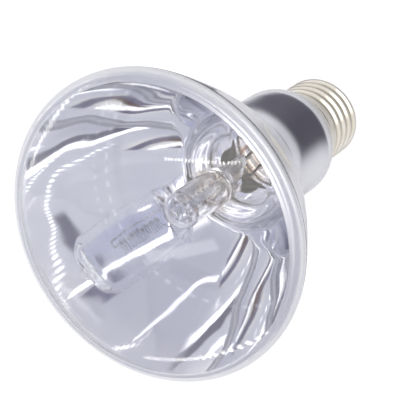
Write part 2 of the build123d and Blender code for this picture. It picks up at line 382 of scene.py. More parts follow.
@dataclass(frozen=True)
class FilmFinish(Finish):
    """A mirror film that is polished, but satin where the piece's own attribute says so.

    Attributes:
        satin: roughness where it is satin.
    """

    satin: float = 0.35

    def make(self, grain: bpy.types.NodeTree) -> bpy.types.Material:
        """Makes the material and dulls it where it is satin.

        Args:
            grain: the shared grain group.

        Returns:
            The finished material.
        """
        material, nodes, shader = self.start(grain)
        share = nodes.add("ShaderNodeAttribute", attribute_name=SATIN).outputs["Fac"]
        polish = shader.inputs["Roughness"].links[0].from_socket
        rough = nodes.math("MAXIMUM", polish, nodes.math("MULTIPLY", share, self.satin))
        nodes.feed(shader.inputs["Roughness"], rough)
        return material


class Slot(Enum):
    """The record's material slots that the lamp's pieces take their finishes from."""

    BULB_GLASS = "bulb_glass"
    STEM_GLASS = "stem_glass"
    QUARTZ = "quartz"
    TUNGSTEN = "tungsten"
    MOLYBDENUM = "molybdenum"
    LEAD_WIRE = "lead_wire"
    COPPER_WIRE = "copper_wire"
    CAP_METAL = "cap_metal"
    CEMENT = "cement"
    BLACK_GLASS = "black_glass"
    CONTACT_BRASS = "contact_brass"
    SOLDER = "solder"


FINISHES: dict[Slot, Finish] = {
    Slot.BULB_GLASS: GlassFinish(
        "clear_blown_glass", WHITE, (0.985, 0.99, 1.0), (0.0, 0.006), grain=9 * MM, cloud=24 * MM,
        relief=0.012 * MM,
    ),
    Slot.STEM_GLASS: GlassFinish(
        "drawn_stem_glass", (1.0, 0.985, 0.96), (0.97, 0.935, 0.89), (0.0, 0.03), grain=2.5 * MM,
        cloud=8 * MM, relief=0.03 * MM,
    ),
    Slot.QUARTZ: GlassFinish(
        "fused_quartz", WHITE, (0.985, 0.99, 1.0), (0.0, 0.012), grain=2.2 * MM, cloud=6 * MM,
        relief=0.03 * MM, ior=1.46,
    ),
    Slot.TUNGSTEN: Finish(
        "tungsten_wire", (0.8, 0.79, 0.81), (0.62, 0.62, 0.65), (0.2, 0.35), cloud=1 * MM, grain=0.1 * MM,
        direction=Direction.ALONG,
    ),
    Slot.MOLYBDENUM: Finish(
        "molybdenum_foil", (0.7, 0.69, 0.72), (0.5, 0.49, 0.52), (0.28, 0.5), cloud=2 * MM, grain=0.15 * MM,
        direction=Direction.ALONG,
    ),
    Slot.LEAD_WIRE: Finish(
        "oxidised_lead_wire", (0.16, 0.145, 0.13), (0.06, 0.055, 0.05), (0.3, 0.6), cloud=2.5 * MM,
        grain=0.25 * MM, direction=Direction.ALONG,
    ),
    Slot.COPPER_WIRE: Finish(
        "copper_clad_wire", (0.8, 0.45, 0.28), (0.5, 0.24, 0.14), (0.25, 0.5), cloud=3 * MM, grain=0.2 * MM,
        direction=Direction.ALONG,
    ),
    Slot.CAP_METAL: ThreadFinish(
        "nickel_plated_cap", (0.93, 0.89, 0.79), (0.86, 0.81, 0.69), (0.07, 0.15), grain=0.25 * MM,
        cloud=5 * MM, relief=0.004 * MM, direction=Direction.ROUND,
    ),
    Slot.CEMENT: Finish(
        "fired_cement", (0.72, 0.67, 0.58), (0.55, 0.5, 0.42), (0.75, 0.95), metallic=0.0, grain=0.35 * MM,
        cloud=2 * MM, relief=0.15 * MM,
    ),
    Slot.BLACK_GLASS: Finish(
        "black_moulded_glass", (0.09, 0.055, 0.047), (0.12, 0.08, 0.07), (0.12, 0.3), metallic=0.0,
        grain=0.8 * MM, cloud=3 * MM, relief=0.04 * MM, coat=0.6,
    ),
    Slot.CONTACT_BRASS: Finish(
        "stamped_brass", (0.78, 0.6, 0.3), (0.55, 0.4, 0.18), (0.22, 0.42), grain=0.3 * MM, cloud=2 * MM,
        direction=Direction.ROUND,
    ),
    Slot.SOLDER: Finish(
        "set_solder", (0.68, 0.68, 0.68), (0.45, 0.45, 0.46), (0.2, 0.42), grain=0.5 * MM, cloud=1.2 * MM,
        relief=0.04 * MM,
    ),
}

MIRROR_FILM = FilmFinish(
    "aluminium_mirror_film", (0.98, 0.98, 0.985), (0.95, 0.95, 0.965), (0.02, 0.05), grain=1.8 * MM,
    cloud=15 * MM, relief=0.002 * MM,
)


class Wardrobe:
    """Makes each finish once and puts it on the pieces."""

    def __init__(self) -> None:
        """Makes the shared grain group and every material."""
        self.grain = grain_group()
        self.materials = {slot: finish.make(self.grain) for slot, finish in FINISHES.items()}
        self.film = MIRROR_FILM.make(self.grain)

    def dress(self, piece: bpy.types.Object, material: bpy.types.Material) -> None:
        """Gives a piece one material."""
        piece.data.materials.clear()
        piece.data.materials.append(material)

    def dress_nodes(self, slot: Slot, *names: str) -> None:
        """Gives the modelled pieces of these names the finish of a slot.

        Args:
            slot: the finish's slot.
            names: the nodes' names.
        """
        for name in names:
            self.dress(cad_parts[name], self.materials[slot])
            log.info("%s: %s", name, FINISHES[slot].name)


def seat(piece: bpy.types.Object, slot: Slot, *nodes: str) -> None:
    """Makes a new piece part of the lamp.

    Args:
        piece: the piece, in its place.
        slot: the record's slot that its finish belongs to; not used.
        nodes: the modelled pieces that it stands for.
    """
    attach(piece, BODY)
    if nodes:
        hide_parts(*nodes)
    log.info("%s: %d faces, for %s", piece.name, len(piece.data.polygons), ", ".join(nodes) or "no node")


def piece_from(name: str, vertices: list[Vector], faces: list[tuple[int, ...]]) -> bpy.types.Object:
    """Makes a smooth mesh piece with its hard edges kept.

    Args:
        name: the piece's name.
        vertices: its points.
        faces: the points of each face, counter-clockwise seen from outside.

    Returns:
        The piece, linked to the scene.
    """
    mesh = bpy.data.meshes.new(name)
    mesh.from_pydata(vertices, [], faces)
    mesh.shade_smooth()
    mesh.set_sharp_from_angle(angle=SHARP_ANGLE)
    piece = bpy.data.objects.new(name, mesh)
    bpy.context.scene.collection.objects.link(piece)
    return piece


def ring_faces(rings: list[list[int]], closed: bool) -> list[tuple[int, ...]]:
    """Joins rings of points with quads, or with triangles to a ring of one point.

    Args:
        rings: the points of each ring, counter-clockwise seen from +Z.
        closed: whether the last ring joins the first.

    Returns:
        The faces, which point to the left of the way from ring to ring, in the half-plane of radius and
        height.
    """
    faces: list[tuple[int, ...]] = []
    pairs = list(zip(rings, rings[1:]))
    if closed:
        pairs.append((rings[-1], rings[0]))
    for first, second in pairs:
        count = max(len(first), len(second))
        for i in range(count):
            j = (i + 1) % count
            corners = (
                first[i % len(first)], second[i % len(second)],
                second[j % len(second)], first[j % len(first)],
            )
            faces.append(tuple(dict.fromkeys(corners)))
    return faces


def lathe(loop: Loop, segments: int, closed: bool) -> tuple[list[Vector], list[list[int]]]:
    """Turns a line about the lamp's axis.

    Args:
        loop: radius and height of each point, walked with the solid on the right-hand side.
        segments: points in a ring.
        closed: whether the line closes on itself. If not, both its ends lie on the axis.

    Returns:
        The points and the rings of their numbers.
    """
    turns = [2 * math.pi * i / segments for i in range(segments)]
    points: list[Vector] = []
    rings: list[list[int]] = []
    for number, (radius, height) in enumerate(loop):
        at_end = number in (0, len(loop) - 1)
        angles = turns[:1] if at_end and not closed else turns
        rings.append(list(range(len(points), len(points) + len(angles))))
        points += [Vector((radius * math.cos(a), radius * math.sin(a), height)) for a in angles]
    return points, rings


def evenly(first: tuple[float, float], last: tuple[float, float], step: float) -> Loop:
    """Divides a straight run.

    Args:
        first: where it starts.
        last: where it ends.
        step: longest distance between two points.

    Returns:
        Points from first to just before last.
    """
    count = max(1, math.ceil(math.dist(first, last) / step))
    return [
        (first[0] + (last[0] - first[0]) * i / count, first[1] + (last[1] - first[1]) * i / count)
        for i in range(count)
    ]


@dataclass
class Outline:
    """A line in the half-plane of radius and height, walked as straight runs and tangent arcs.

    Attributes:
        radius: where the walker is.
        height: where the walker is.
        heading: which way the walker faces, from outwards towards up.
        step: longest distance between two stations.
        stations: radius, height and heading of each point so far.
    """

    radius: float
    height: float
    heading: float
    step: float
    stations: list[Station] = field(default_factory=list)

    def arc(self, radius: float, turn: float, least: int = 6) -> None:
        """Walks along an arc.

        Args:
            radius: the arc's radius.
            turn: how far it turns, with a left turn positive.
            least: the fewest stations on it.
        """
        count = max(least, math.ceil(radius * math.radians(abs(turn)) / self.step))
        for _ in range(count):
            self.stations.append((self.radius, self.height, self.heading))
            chord = 2 * radius * math.sin(math.radians(abs(turn) / count / 2))
            way = math.radians(self.heading + turn / count / 2)
            self.radius += chord * math.cos(way)
            self.height += chord * math.sin(way)
            self.heading += turn / count

    def line(self, length: float) -> None:
        """Walks straight on.

        Args:
            length: how far.
        """
        count = max(1, math.ceil(length / self.step))
        for _ in range(count):
            self.stations.append((self.radius, self.height, self.heading))
            self.radius += length / count * math.cos(math.radians(self.heading))
            self.height += length / count * math.sin(math.radians(self.heading))

    def stop(self) -> list[Station]:
        """Returns all the stations, with the last place of the walker."""
        return [*self.stations, (self.radius, self.height, self.heading)]


def inwards(station: Station, distance: float) -> tuple[float, float]:
    """Steps from a station into the envelope, which is to its right.

    Args:
        station: radius, height and heading.
        distance: how far to step.

    Returns:
        Radius and height of the place.
    """
    radius, height, heading = station
    way = math.radians(heading)
    return radius + distance * math.sin(way), height - distance * math.cos(way)


@dataclass
class Envelope:
    """The blown envelope and the mirror on the inside of its bowl and neck.

    Attributes:
        rim_radius: outside radius of the rim.
        crown: height of the front's middle.
        tail_end: height of the tail's open end.
        corner_radius: radius of the rim's corner.
        crown_radius: radius of the domed front.
        bowl_slope: slope of the bowl at the rim, from the axis.
        bowl_depth: height of the rim over the throat.
        throat_radius: outside radius where the bowl meets the throat.
        throat_fillet: radius of the throat's hollow.
        neck_turn: slope of the neck under the throat.
        neck_length: height of the throat over the barrel.
        barrel_length: straight length of the barrel.
        shoulder_turn: slope at the foot of the shoulder.
        collar_radius: radius of the hollow above the tail.
        tail_radius: outside radius of the tail.
        wall: thickness of the clear front.
        skin: thickness of the glass over the mirror.
        film_radius: radius of the mirror's front edge, on the margin of the domed front.
        film_foot: height of the mirror's lower end, over the stem's flare.
        film_bore: radius of the mirror's inner edge round the stem.
        film_gap: room between the glass and the film.
        film: thickness of the film.
        satin_rim: height above which the film is satin on both faces.
        satin_neck: height below which it is a little satin inside, and above which it is so outside.
        neck_share: how satin it is inside the neck.
        bowl_share: how satin it is outside on the bowl.
        satin_fade: how far the satin fades out.
        calm_radius: radius up to which the wall has no waves.
        wave_onset: share of the way from there to the rim over which the waves grow.
        waves: height and length of the waves in the blown wall, longest first.
        glass_step: longest distance between two rings of the glass.
        film_step: longest distance between two rings of the film.
        glass_segments: points in a ring of the glass.
        film_segments: points in a ring of the film.
        corner_stations: the fewest rings round the rim's corner.
        shoulder_stations: the fewest rings round the shoulder.
        hollow_stations: the fewest rings in the throat's hollow and in the collar.
    """

    rim_radius: float
    crown: float
    tail_end: float
    corner_radius: float = 4 * MM
    crown_radius: float = 109 * MM
    bowl_slope: float = 24.5
    bowl_depth: float = 49 * MM
    throat_radius: float = 20.2 * MM
    throat_fillet: float = 5 * MM
    neck_turn: float = 10.3
    neck_length: float = 22.4 * MM
    barrel_length: float = 5 * MM
    shoulder_turn: float = 50.0
    collar_radius: float = 4.9 * MM
    tail_radius: float = 11.2 * MM
    wall: float = 1.3 * MM
    skin: float = 0.4 * MM
    film_radius: float = 43.65 * MM
    film_foot: float = 17 * MM
    film_bore: float = 7.6 * MM
    film_gap: float = 0.2 * MM
    film: float = 0.05 * MM
    satin_rim: float = 111.5 * MM
    satin_neck: float = 62 * MM
    neck_share: float = 0.2
    bowl_share: float = 0.45
    satin_fade: float = 2 * MM
    calm_radius: float = 18 * MM
    wave_onset: float = 0.5
    waves: tuple[tuple[float, float], ...] = ((0.3 * MM, 25 * MM), (0.03 * MM, 9 * MM))
    glass_step: float = 1.2 * MM
    film_step: float = 0.8 * MM
    glass_segments: int = 192
    film_segments: int = 224
    corner_stations: int = 18
    shoulder_stations: int = 14
    hollow_stations: int = 10

    def outline(self, step: float) -> list[Station]:
        """Walks the outside of the glass from the middle of the front to the tail's end.

        Args:
            step: longest distance between two stations.

        Returns:
            The stations on the way.
        """
        corner_middle = self.rim_radius - self.corner_radius
        crown_reach = self.crown_radius - self.corner_radius
        crown_turn = math.degrees(math.asin(corner_middle / crown_reach))
        slope = math.radians(self.bowl_slope)
        bowl_width = corner_middle + self.corner_radius * math.cos(slope) - self.throat_radius
        bowl_rise = self.bowl_depth - self.corner_radius * math.sin(slope)
        bowl_turn = 2 * (math.degrees(math.atan2(bowl_width, bowl_rise)) - self.bowl_slope)
        bowl_radius = math.hypot(bowl_width, bowl_rise) / 2 / math.sin(math.radians(bowl_turn / 2))
        end_slope = math.radians(self.bowl_slope + bowl_turn)
        neck_slope = math.radians(self.neck_turn)
        throat_drop = self.throat_fillet * (math.sin(end_slope) - math.sin(neck_slope))
        throat_step = self.throat_fillet * (math.cos(neck_slope) - math.cos(end_slope))
        neck_radius = (self.neck_length - throat_drop) / math.sin(neck_slope)
        barrel_radius = self.throat_radius - throat_step - neck_radius * (1 - math.cos(neck_slope))
        shoulder_fall = 1 - math.cos(math.radians(self.shoulder_turn))
        shoulder_reach = (barrel_radius - self.tail_radius) / shoulder_fall
        walk = Outline(0.0, self.crown, 0.0, step)
        walk.arc(self.crown_radius, -crown_turn)
        walk.arc(self.corner_radius, crown_turn - 90 - self.bowl_slope, self.corner_stations)
        walk.arc(bowl_radius, -bowl_turn)
        walk.arc(self.throat_fillet, self.bowl_slope + bowl_turn - self.neck_turn, self.hollow_stations)
        walk.arc(neck_radius, self.neck_turn)
        walk.line(self.barrel_length)
        walk.arc(shoulder_reach - self.collar_radius, -self.shoulder_turn, self.shoulder_stations)
        walk.arc(self.collar_radius, self.shoulder_turn, self.hollow_stations)
        walk.line(walk.height - self.tail_end)
        return walk.stop()

    def cover(self, station: Station) -> float:
        """Works out the thickness of the glass, which thins round the rim's corner.

        Args:
            station: a place on the outside.

        Returns:
            The thickness there.
        """
        front, bowl = -math.degrees(math.asin(self.rim_radius / self.crown_radius)), -90.0
        share = min(1.0, max(0.0, (station[2] - front) / (bowl - front)))
        past_rim = station[1] < self.crown - self.bowl_depth / 2
        return self.skin if past_rim else self.wall + (self.skin - self.wall) * share

    def build_glass(self) -> bpy.types.Object:
        """Makes the glass as one closed wall, outside and inside.

        Returns:
            The glass.
        """
        stations = self.outline(self.glass_step)
        outside = [(max(radius, 0.0), height) for radius, height, _ in stations]
        inside = [inwards(station, self.cover(station)) for station in stations]
        inside[0] = (0.0, inside[0][1])
        points, rings = lathe(outside + inside[::-1], self.glass_segments, closed=False)
        return piece_from("envelope_glass", points, ring_faces(rings, closed=False))

    def wave(self, place: Vector) -> float:
        """Works out the waves of the blown wall, with none in the neck.

        Args:
            place: a place on the wall.

        Returns:
            How far the wall stands in or out there.
        """
        share = (place.xy.length - self.calm_radius) / (self.rim_radius - self.calm_radius)
        calm = min(1.0, max(0.0, share / self.wave_onset))
        return calm * sum(height * noise.noise(place / length) for height, length in self.waves)

    def satin(self, height: float, inside: bool) -> float:
        """Works out how satin the film is.

        Args:
            height: a height on the film.
            inside: whether the place is on its inside face.

        Returns:
            The satin's share there, from 0 to 1.
        """
        rim = (height - self.satin_rim) / self.satin_fade
        neck = (self.satin_neck - height) / self.satin_fade
        mild = min(self.neck_share, neck) if inside else min(self.bowl_share, -neck)
        return max(0.0, min(1.0, 1 + rim), mild)

    def film_section(self) -> tuple[Loop, Loop, list[float]]:
        """Draws the film's closed section, from its front edge down its outside and back up its inside.

        Returns:
            The section's points, the way in which the waves move each, and how satin each is.
        """
        walked = self.outline(self.film_step)
        deeps = [self.cover(station) + self.film_gap for station in walked]
        places = [inwards(station, deep) for station, deep in zip(walked, deeps)]
        first = next(i for i, place in enumerate(places) if place[0] > self.film_radius)
        last = next(i for i, place in enumerate(places) if place[1] < self.film_foot)
        stations, outer = walked[first:last], places[first:last]
        inner = [inwards(station, deep + self.film) for station, deep in zip(stations, deeps[first:last])]
        ways = [inwards((0.0, 0.0, station[2]), 1.0) for station in stations]
        foot, floor = outer[-1], (self.film_bore, outer[-1][1])
        ledge = evenly(foot, floor, self.film_step)[1:] + [floor]
        outer += ledge
        inner[-1] = (inner[-1][0], foot[1] + self.film)
        inner += [(radius, height + self.film) for radius, height in ledge]
        ways += [(0.0, 0.0)] * len(ledge)
        shares = [self.satin(height, inside=False) for _, height in outer]
        shares += [self.satin(height, inside=True) for _, height in inner[::-1]]
        return outer + inner[::-1], ways + ways[::-1], shares

    def build_film(self) -> bpy.types.Object:
        """Makes the mirror as a thin closed skin inside the glass, with the waves of the blown wall.

        Returns:
            The mirror, with its satin as an attribute.
        """
        section, ways, shares = self.film_section()
        points, rings = lathe(section, self.film_segments, closed=True)
        for ring, (outward, upward) in zip(rings, ways):
            for number in ring:
                place = points[number]
                flat = Vector((place.x, place.y, 0.0)).normalized()
                points[number] = place + (flat * outward + UP * upward) * self.wave(place)
        film = piece_from("mirror_film", points, ring_faces(rings, closed=True))
        satin = film.data.attributes.new(SATIN, "FLOAT", "POINT")
        for ring, share in zip(rings, shares):
            for number in ring:
                satin.data[number].value = share
        return film

    def make(self, wardrobe: Wardrobe) -> None:
        """Builds and dresses the glass and the mirror.

        Args:
            wardrobe: the finishes.
        """
        glass = self.build_glass()
        wardrobe.dress(glass, wardrobe.materials[Slot.BULB_GLASS])
        seat(glass, Slot.BULB_GLASS, "glass_envelope")
        film = self.build_film()
        wardrobe.dress(film, wardrobe.film)
        seat(film, Slot.BULB_GLASS)


def evaluate(piece: bpy.types.Object, tree: bpy.types.NodeTree, values: dict[str, object]) -> None:
    """Runs a geometry node tree on a piece and keeps the result as its plain mesh.

    Args:
        piece: the piece that holds the tree's starting geometry.
        tree: the tree.
        values: the value of each named input.
    """
    modifier = piece.modifiers.new(tree.name, "NODES")
    modifier.node_group = tree
    for item in tree.interface.items_tree:
        if item.in_out == "INPUT" and item.name in values:
            modifier[item.identifier] = values[item.name]
    graph = bpy.context.evaluated_depsgraph_get()
    mesh = bpy.data.meshes.new_from_object(piece.evaluated_get(graph), depsgraph=graph)
    piece.modifiers.remove(modifier)
    mesh.name = piece.name
    piece.data = mesh


def dressed(nodes: Nodes, shape: Socket, material: Socket) -> Socket:
    """Ends a geometry node tree with a real mesh in its material.

    Args:
        nodes: the tree's nodes.
        shape: the geometry.
        material: its material.

    Returns:
        The finished geometry's socket.
    """
    real = nodes.add("GeometryNodeRealizeInstances", {"Geometry": shape})
    finished = nodes.add("GeometryNodeSetMaterial", {"Geometry": real.outputs[0], "Material": material})
    return finished.outputs[0]


def coil_tree() -> bpy.types.NodeTree:
    """Winds a coil of wire and lays wire along the legs that go in as lines.

    Returns:
        The geometry node tree, with the coil's sizes going in.
    """
    nodes, given, result = new_group(
        "coil_winding", "GeometryNodeTree",
        {
            "Legs": "Geometry", "Coil radius": "Float", "Coil length": "Float", "Coil foot": "Vector",
            "Turns": "Float", "Wire radius": "Float", "Leg radius": "Float", "Leg bend": "Float",
            "Material": "Material",
        },
        {"Wire": "Geometry"},
    )
    spiral = nodes.add("GeometryNodeCurveSpiral", {
        "Resolution": TURN_POINTS, "Rotations": given["Turns"], "Start Radius": given["Coil radius"],
        "End Radius": given["Coil radius"], "Height": given["Coil length"],
    })
    coil = nodes.add("GeometryNodeTransform", {
        "Geometry": spiral.outputs[0], "Translation": given["Coil foot"],
    })
    lines = nodes.add("GeometryNodeMeshToCurve", {"Mesh": given["Legs"]})
    legs = nodes.add(
        "GeometryNodeFilletCurve",
        {
            "Curve": lines.outputs[0], "Radius": given["Leg bend"], "Count": BEND_POINTS,
            "Limit Radius": True,
        },
        mode="POLY",
    )
    both = nodes.add("GeometryNodeJoinGeometry")
    for curve, radius, sides in ((coil, "Wire radius", WIRE_SIDES), (legs, "Leg radius", LEG_SIDES)):
        section = nodes.add("GeometryNodeCurvePrimitiveCircle", {
            "Resolution": sides, "Radius": given[radius],
        })
        wire = nodes.add("GeometryNodeCurveToMesh", {
            "Curve": curve.outputs[0], "Profile Curve": section.outputs[0], "Fill Caps": True,
        })
        nodes.tree.links.new(wire.outputs[0], both.inputs[0])
    smooth = nodes.add("GeometryNodeSetShadeSmooth", {"Geometry": both.outputs[0]})
    nodes.feed(result["Wire"], dressed(nodes, smooth.outputs[0], given["Material"]))
    return nodes.tree


@dataclass
class Capsule:
    """The quartz capsule with its pinch, foils, pins and filament.

    Attributes:
        foot: height of the pinch's lower end.
        tip: height of the exhaust tip.
        body_radius: outside radius of the body.
        half_width: half the pinch's width.
        wall: thickness of the quartz round the cavity.
        pinch_length: height of the pinch.
        pinch_half_thickness: half its thickness between the beads.
        bead_radius: radius of the bead along each of its edges.
        bead_blend: height over which the pinch fills out to the beads' thickness.
        shoulder: height from the pinch to the round body.
        shoulder_ease: how late the shoulder turns round, as a power.
        body_length: straight length of the body.
        nose_bend: radius of the nose's corner.
        tip_root_radius: radius where the tip meets the nose.
        tip_radius: radius of the tip's round end.
        cavity_lift: height of the cavity's widest place over the body's foot.
        ripple: depth of the ripples across the pinch.
        ripple_pitch: height from one ripple to the next.
        ripple_patch: size of the patches in which the ripples differ.
        ripple_mean: mean strength of the ripples.
        ripple_spread: how much the strength differs.
        pin_x: distance of the legs' feet from the axis.
        leg_y: distance of the legs' feet from the pinch's middle plane.
        leg_foot: height of the legs' feet over the pinch's end.
        leg_rise: height of a leg's turn past the coil's end.
        leg_bend: radius of a leg's bends.
        leg_radius: radius of a leg's wire.
        coil_radius: radius of the coil, at the middle of its wire.
        coil_lift: height of the coil over the body's foot.
        coil_length: length of the coil.
        coil_turns: number of its turns.
        coil_wire: radius of its wire.
        arc_points: points on each quarter of a ring.
        pinch_steps: rings along the pinch.
        shoulder_steps: rings along the shoulder.
        nose_steps: rings round the nose's corner.
        tip_steps: rings round the tip's end.
        floor_steps: rings in the cavity's round floor.
        cavity_segments: points in a ring of the cavity.
        body_step: longest distance between two rings of the body.
        tip_step: longest distance between two rings of the tip's cone.
    """

    foot: float
    tip: float
    body_radius: float
    half_width: float = 5.4 * MM
    wall: float = 1.1 * MM
    pinch_length: float = 10 * MM
    pinch_half_thickness: float = 1.3 * MM
    bead_radius: float = 1.8 * MM
    bead_blend: float = 1.6 * MM
    shoulder: float = 4.5 * MM
    shoulder_ease: float = 1.3
    body_length: float = 20.8 * MM
    nose_bend: float = 3.6 * MM
    tip_root_radius: float = 1.8 * MM
    tip_radius: float = 1.1 * MM
    cavity_lift: float = 2.5 * MM
    ripple: float = 0.07 * MM
    ripple_pitch: float = 1.25 * MM
    ripple_patch: float = 3 * MM
    ripple_mean: float = 0.6
    ripple_spread: float = 0.8
    pin_x: float = 2.4 * MM
    leg_y: float = 0.17 * MM
    leg_foot: float = 8.1 * MM
    leg_rise: float = 1.2 * MM
    leg_bend: float = 0.5 * MM
    leg_radius: float = 0.16 * MM
    coil_radius: float = 1.0 * MM
    coil_lift: float = 3.0 * MM
    coil_length: float = 12 * MM
    coil_turns: float = 16.0
    coil_wire: float = 0.16 * MM
    arc_points: int = 20
    pinch_steps: int = 60
    shoulder_steps: int = 14
    nose_steps: int = 14
    tip_steps: int = 10
    floor_steps: int = 12
    cavity_segments: int = 64
    body_step: float = 1 * MM
    tip_step: float = 0.1 * MM

    def __post_init__(self) -> None:
        """Works out the heights of the capsule's stretches."""
        self.pinch_top = self.foot + self.pinch_length
        self.body_foot = self.pinch_top + self.shoulder
        self.body_top = self.body_foot + self.body_length
        self.nose = self.body_top + self.nose_bend

    def section(self, half_thickness: float) -> list[Vector]:
        """Draws a flat section with a round bead along each edge.

        Args:
            half_thickness: half the thickness between the beads.

        Returns:
            The section's points, counter-clockwise from the right-hand bead's foot.
        """
        bead_x = self.half_width - self.bead_radius
        reach = math.pi - math.asin(min(1.0, half_thickness / self.bead_radius))
        points = []
        for side in (1, -1):
            for i in range(self.arc_points):
                angle = reach * (2 * i / (self.arc_points - 1) - 1)
                bead = Vector((math.cos(angle), math.sin(angle), 0.0)) * self.bead_radius
                points.append(side * (bead + Vector((bead_x, 0.0, 0.0))))
            flat = side * (bead_x + math.cos(reach) * self.bead_radius)
            for i in range(1, self.arc_points - 1):
                share = 1 - 2 * i / (self.arc_points - 1)
                points.append(Vector((flat * share, side * half_thickness, 0.0)))
        return points

    def circle(self, radius: float) -> list[Vector]:
        """Draws a circle with its points in step with those of a section.

        Args:
            radius: the circle's radius.

        Returns:
            The circle's points.
        """
        arc = self.arc_points - 1
        angles = []
        for quarter in range(4):
            inner = range(1, arc) if quarter % 2 else range(arc + 1)
            angles += [math.radians(90 * quarter - 45 + 90 * i / arc) for i in inner]
        return [Vector((math.cos(a), math.sin(a), 0.0)) * radius for a in angles]

    def nose_profile(self, bend: float) -> Loop:
        """Draws the round corner of the blunt nose.

        Args:
            bend: the corner's radius, about the same middle for the outside and the cavity.

        Returns:
            Points from the straight body to the flat of the nose.
        """
        middle = self.body_radius - self.nose_bend
        turns = [math.pi / 2 * i / self.nose_steps for i in range(self.nose_steps + 1)]
        return [(middle + bend * math.cos(turn), self.body_top + bend * math.sin(turn)) for turn in turns]

    def pinch_rings(self, flat: list[Vector], full: list[Vector]) -> list[list[Vector]]:
        """Draws the pinch, with uneven ripples between its beads.

        Args:
            flat: its section.
            full: the section that it fills out to at its top.

        Returns:
            The rings from its foot to its top.
        """
        rings = []
        for i in range(self.pinch_steps + 1):
            height = self.foot + self.pinch_length * i / self.pinch_steps
            blend = max(0.0, 1 - (self.pinch_top - height) / self.bead_blend)
            blend = blend * blend * (3 - 2 * blend)
            swell = math.sin(2 * math.pi * (height - self.foot) / self.ripple_pitch)
            ring = []
            for low, high in zip(flat, full):
                point = low.lerp(high, blend)
                calm = (1 - blend) * max(0.0, 1 - abs(point.x) / self.half_width)
                patch = noise.noise(Vector((point.x, 0.0, height)) / self.ripple_patch)
                uneven = self.ripple_mean + self.ripple_spread * patch
                point.y += math.copysign(self.ripple * swell * calm * uneven, point.y)
                ring.append(point + UP * height)
            rings.append(ring)
        return rings

    def shoulder_rings(self, full: list[Vector]) -> list[list[Vector]]:
        """Draws the shoulder, from the pinch's full section to the round body.

        Args:
            full: the pinch's section at its top.

        Returns:
            The rings above the pinch's top.
        """
        rings = []
        disc = self.circle(self.body_radius)
        for i in range(1, self.shoulder_steps + 1):
            share = i / self.shoulder_steps
            lift = UP * (self.pinch_top + self.shoulder * share)
            rounded = math.sin(share * math.pi / 2) ** self.shoulder_ease
            rings.append([low.lerp(high, rounded) + lift for low, high in zip(full, disc)])
        return rings

    def body_profile(self) -> Loop:
        """Draws the body, the nose and the tip as one line.

        Returns:
            Points from just above the shoulder to just before the tip's end on the axis.
        """
        foot, top = (self.body_radius, self.body_foot), (self.body_radius, self.body_top)
        profile = evenly(foot, top, self.body_step)[1:]
        profile += self.nose_profile(self.nose_bend)
        neck = (self.tip_radius, self.tip - self.tip_radius)
        profile += evenly((self.tip_root_radius, self.nose), neck, self.tip_step)
        for i in range(self.tip_steps):
            angle = math.pi / 2 * i / self.tip_steps
            profile.append((neck[0] * math.cos(angle), neck[1] + self.tip_radius * math.sin(angle)))
        return profile

    def build_quartz(self) -> bpy.types.Object:
        """Makes the quartz: pinch, shoulder, body, nose and tip outside, and the cavity inside.

        Returns:
            The quartz.
        """
        flat = self.section(self.pinch_half_thickness)
        full = self.section(self.bead_radius)
        unit = self.circle(1.0)
        rings = self.pinch_rings(flat, full) + self.shoulder_rings(full)
        rings += [[Vector((p.x * r, p.y * r, z)) for p in unit] for r, z in self.body_profile()]
        points = [point for ring in rings for point in ring]
        count = len(flat)
        numbers = [list(range(i * count, (i + 1) * count)) for i in range(len(rings))]
        foot_middle, tip_end = len(points), len(points) + 1
        points += [UP * self.foot, UP * self.tip]
        faces = ring_faces([[tip_end], *reversed(numbers), [foot_middle]], closed=False)
        cavity_points, cavity_rings = self.cavity()
        shift = len(points)
        points += cavity_points
        faces += [tuple(n + shift for n in face) for face in ring_faces(cavity_rings, closed=False)]
        return piece_from("capsule_quartz", points, faces)

    def cavity(self) -> tuple[list[Vector], list[list[int]]]:
        """Draws the cavity's wall, walked so that the quartz is outside it.

        Returns:
            The wall's points and the rings of their numbers.
        """
        radius = self.body_radius - self.wall
        floor = self.body_foot + self.cavity_lift
        loop: Loop = []
        for i in range(self.floor_steps):
            angle = math.pi / 2 * i / self.floor_steps
            loop.append((radius * math.sin(angle), floor - radius * math.cos(angle)))
        loop += evenly((radius, floor), (radius, self.body_top), self.body_step)
        loop += self.nose_profile(self.nose_bend - self.wall)
        loop.append((0.0, self.nose - self.wall))
        return lathe(loop, self.cavity_segments, closed=False)

    def build_filament(self, material: bpy.types.Material) -> bpy.types.Object:
        """Winds the filament and its legs.

        Args:
            material: the wire's material.

        Returns:
            The filament as a plain mesh.
        """
        coil_foot = self.body_foot + self.coil_lift
        coil_top = coil_foot + self.coil_length
        leg_foot = self.foot + self.leg_foot
        short_leg = (1, coil_foot - self.leg_rise, coil_foot)
        long_leg = (-1, coil_top + self.leg_rise, coil_top)
        points: list[Vector] = []
        edges: list[tuple[int, int]] = []
        for side, turn, end in (short_leg, long_leg):
            leg = [
                Vector((side * self.pin_x, self.leg_y, leg_foot)),
                Vector((side * self.pin_x, self.leg_y, turn)),
                Vector((side * self.coil_radius, 0.0, turn)),
                Vector((side * self.coil_radius, 0.0, end)),
            ]
            edges += [(len(points) + i, len(points) + i + 1) for i in range(len(leg) - 1)]
            points += leg
        mesh = bpy.data.meshes.new("filament_coil")
        mesh.from_pydata(points, edges, [])
        filament = bpy.data.objects.new("filament_coil", mesh)
        bpy.context.scene.collection.objects.link(filament)
        evaluate(filament, coil_tree(), {
            "Coil radius": self.coil_radius, "Coil length": self.coil_length,
            "Coil foot": (0.0, 0.0, coil_foot), "Turns": self.coil_turns, "Wire radius": self.coil_wire,
            "Leg radius": self.leg_radius, "Leg bend": self.leg_bend, "Material": material,
        })
        return filament

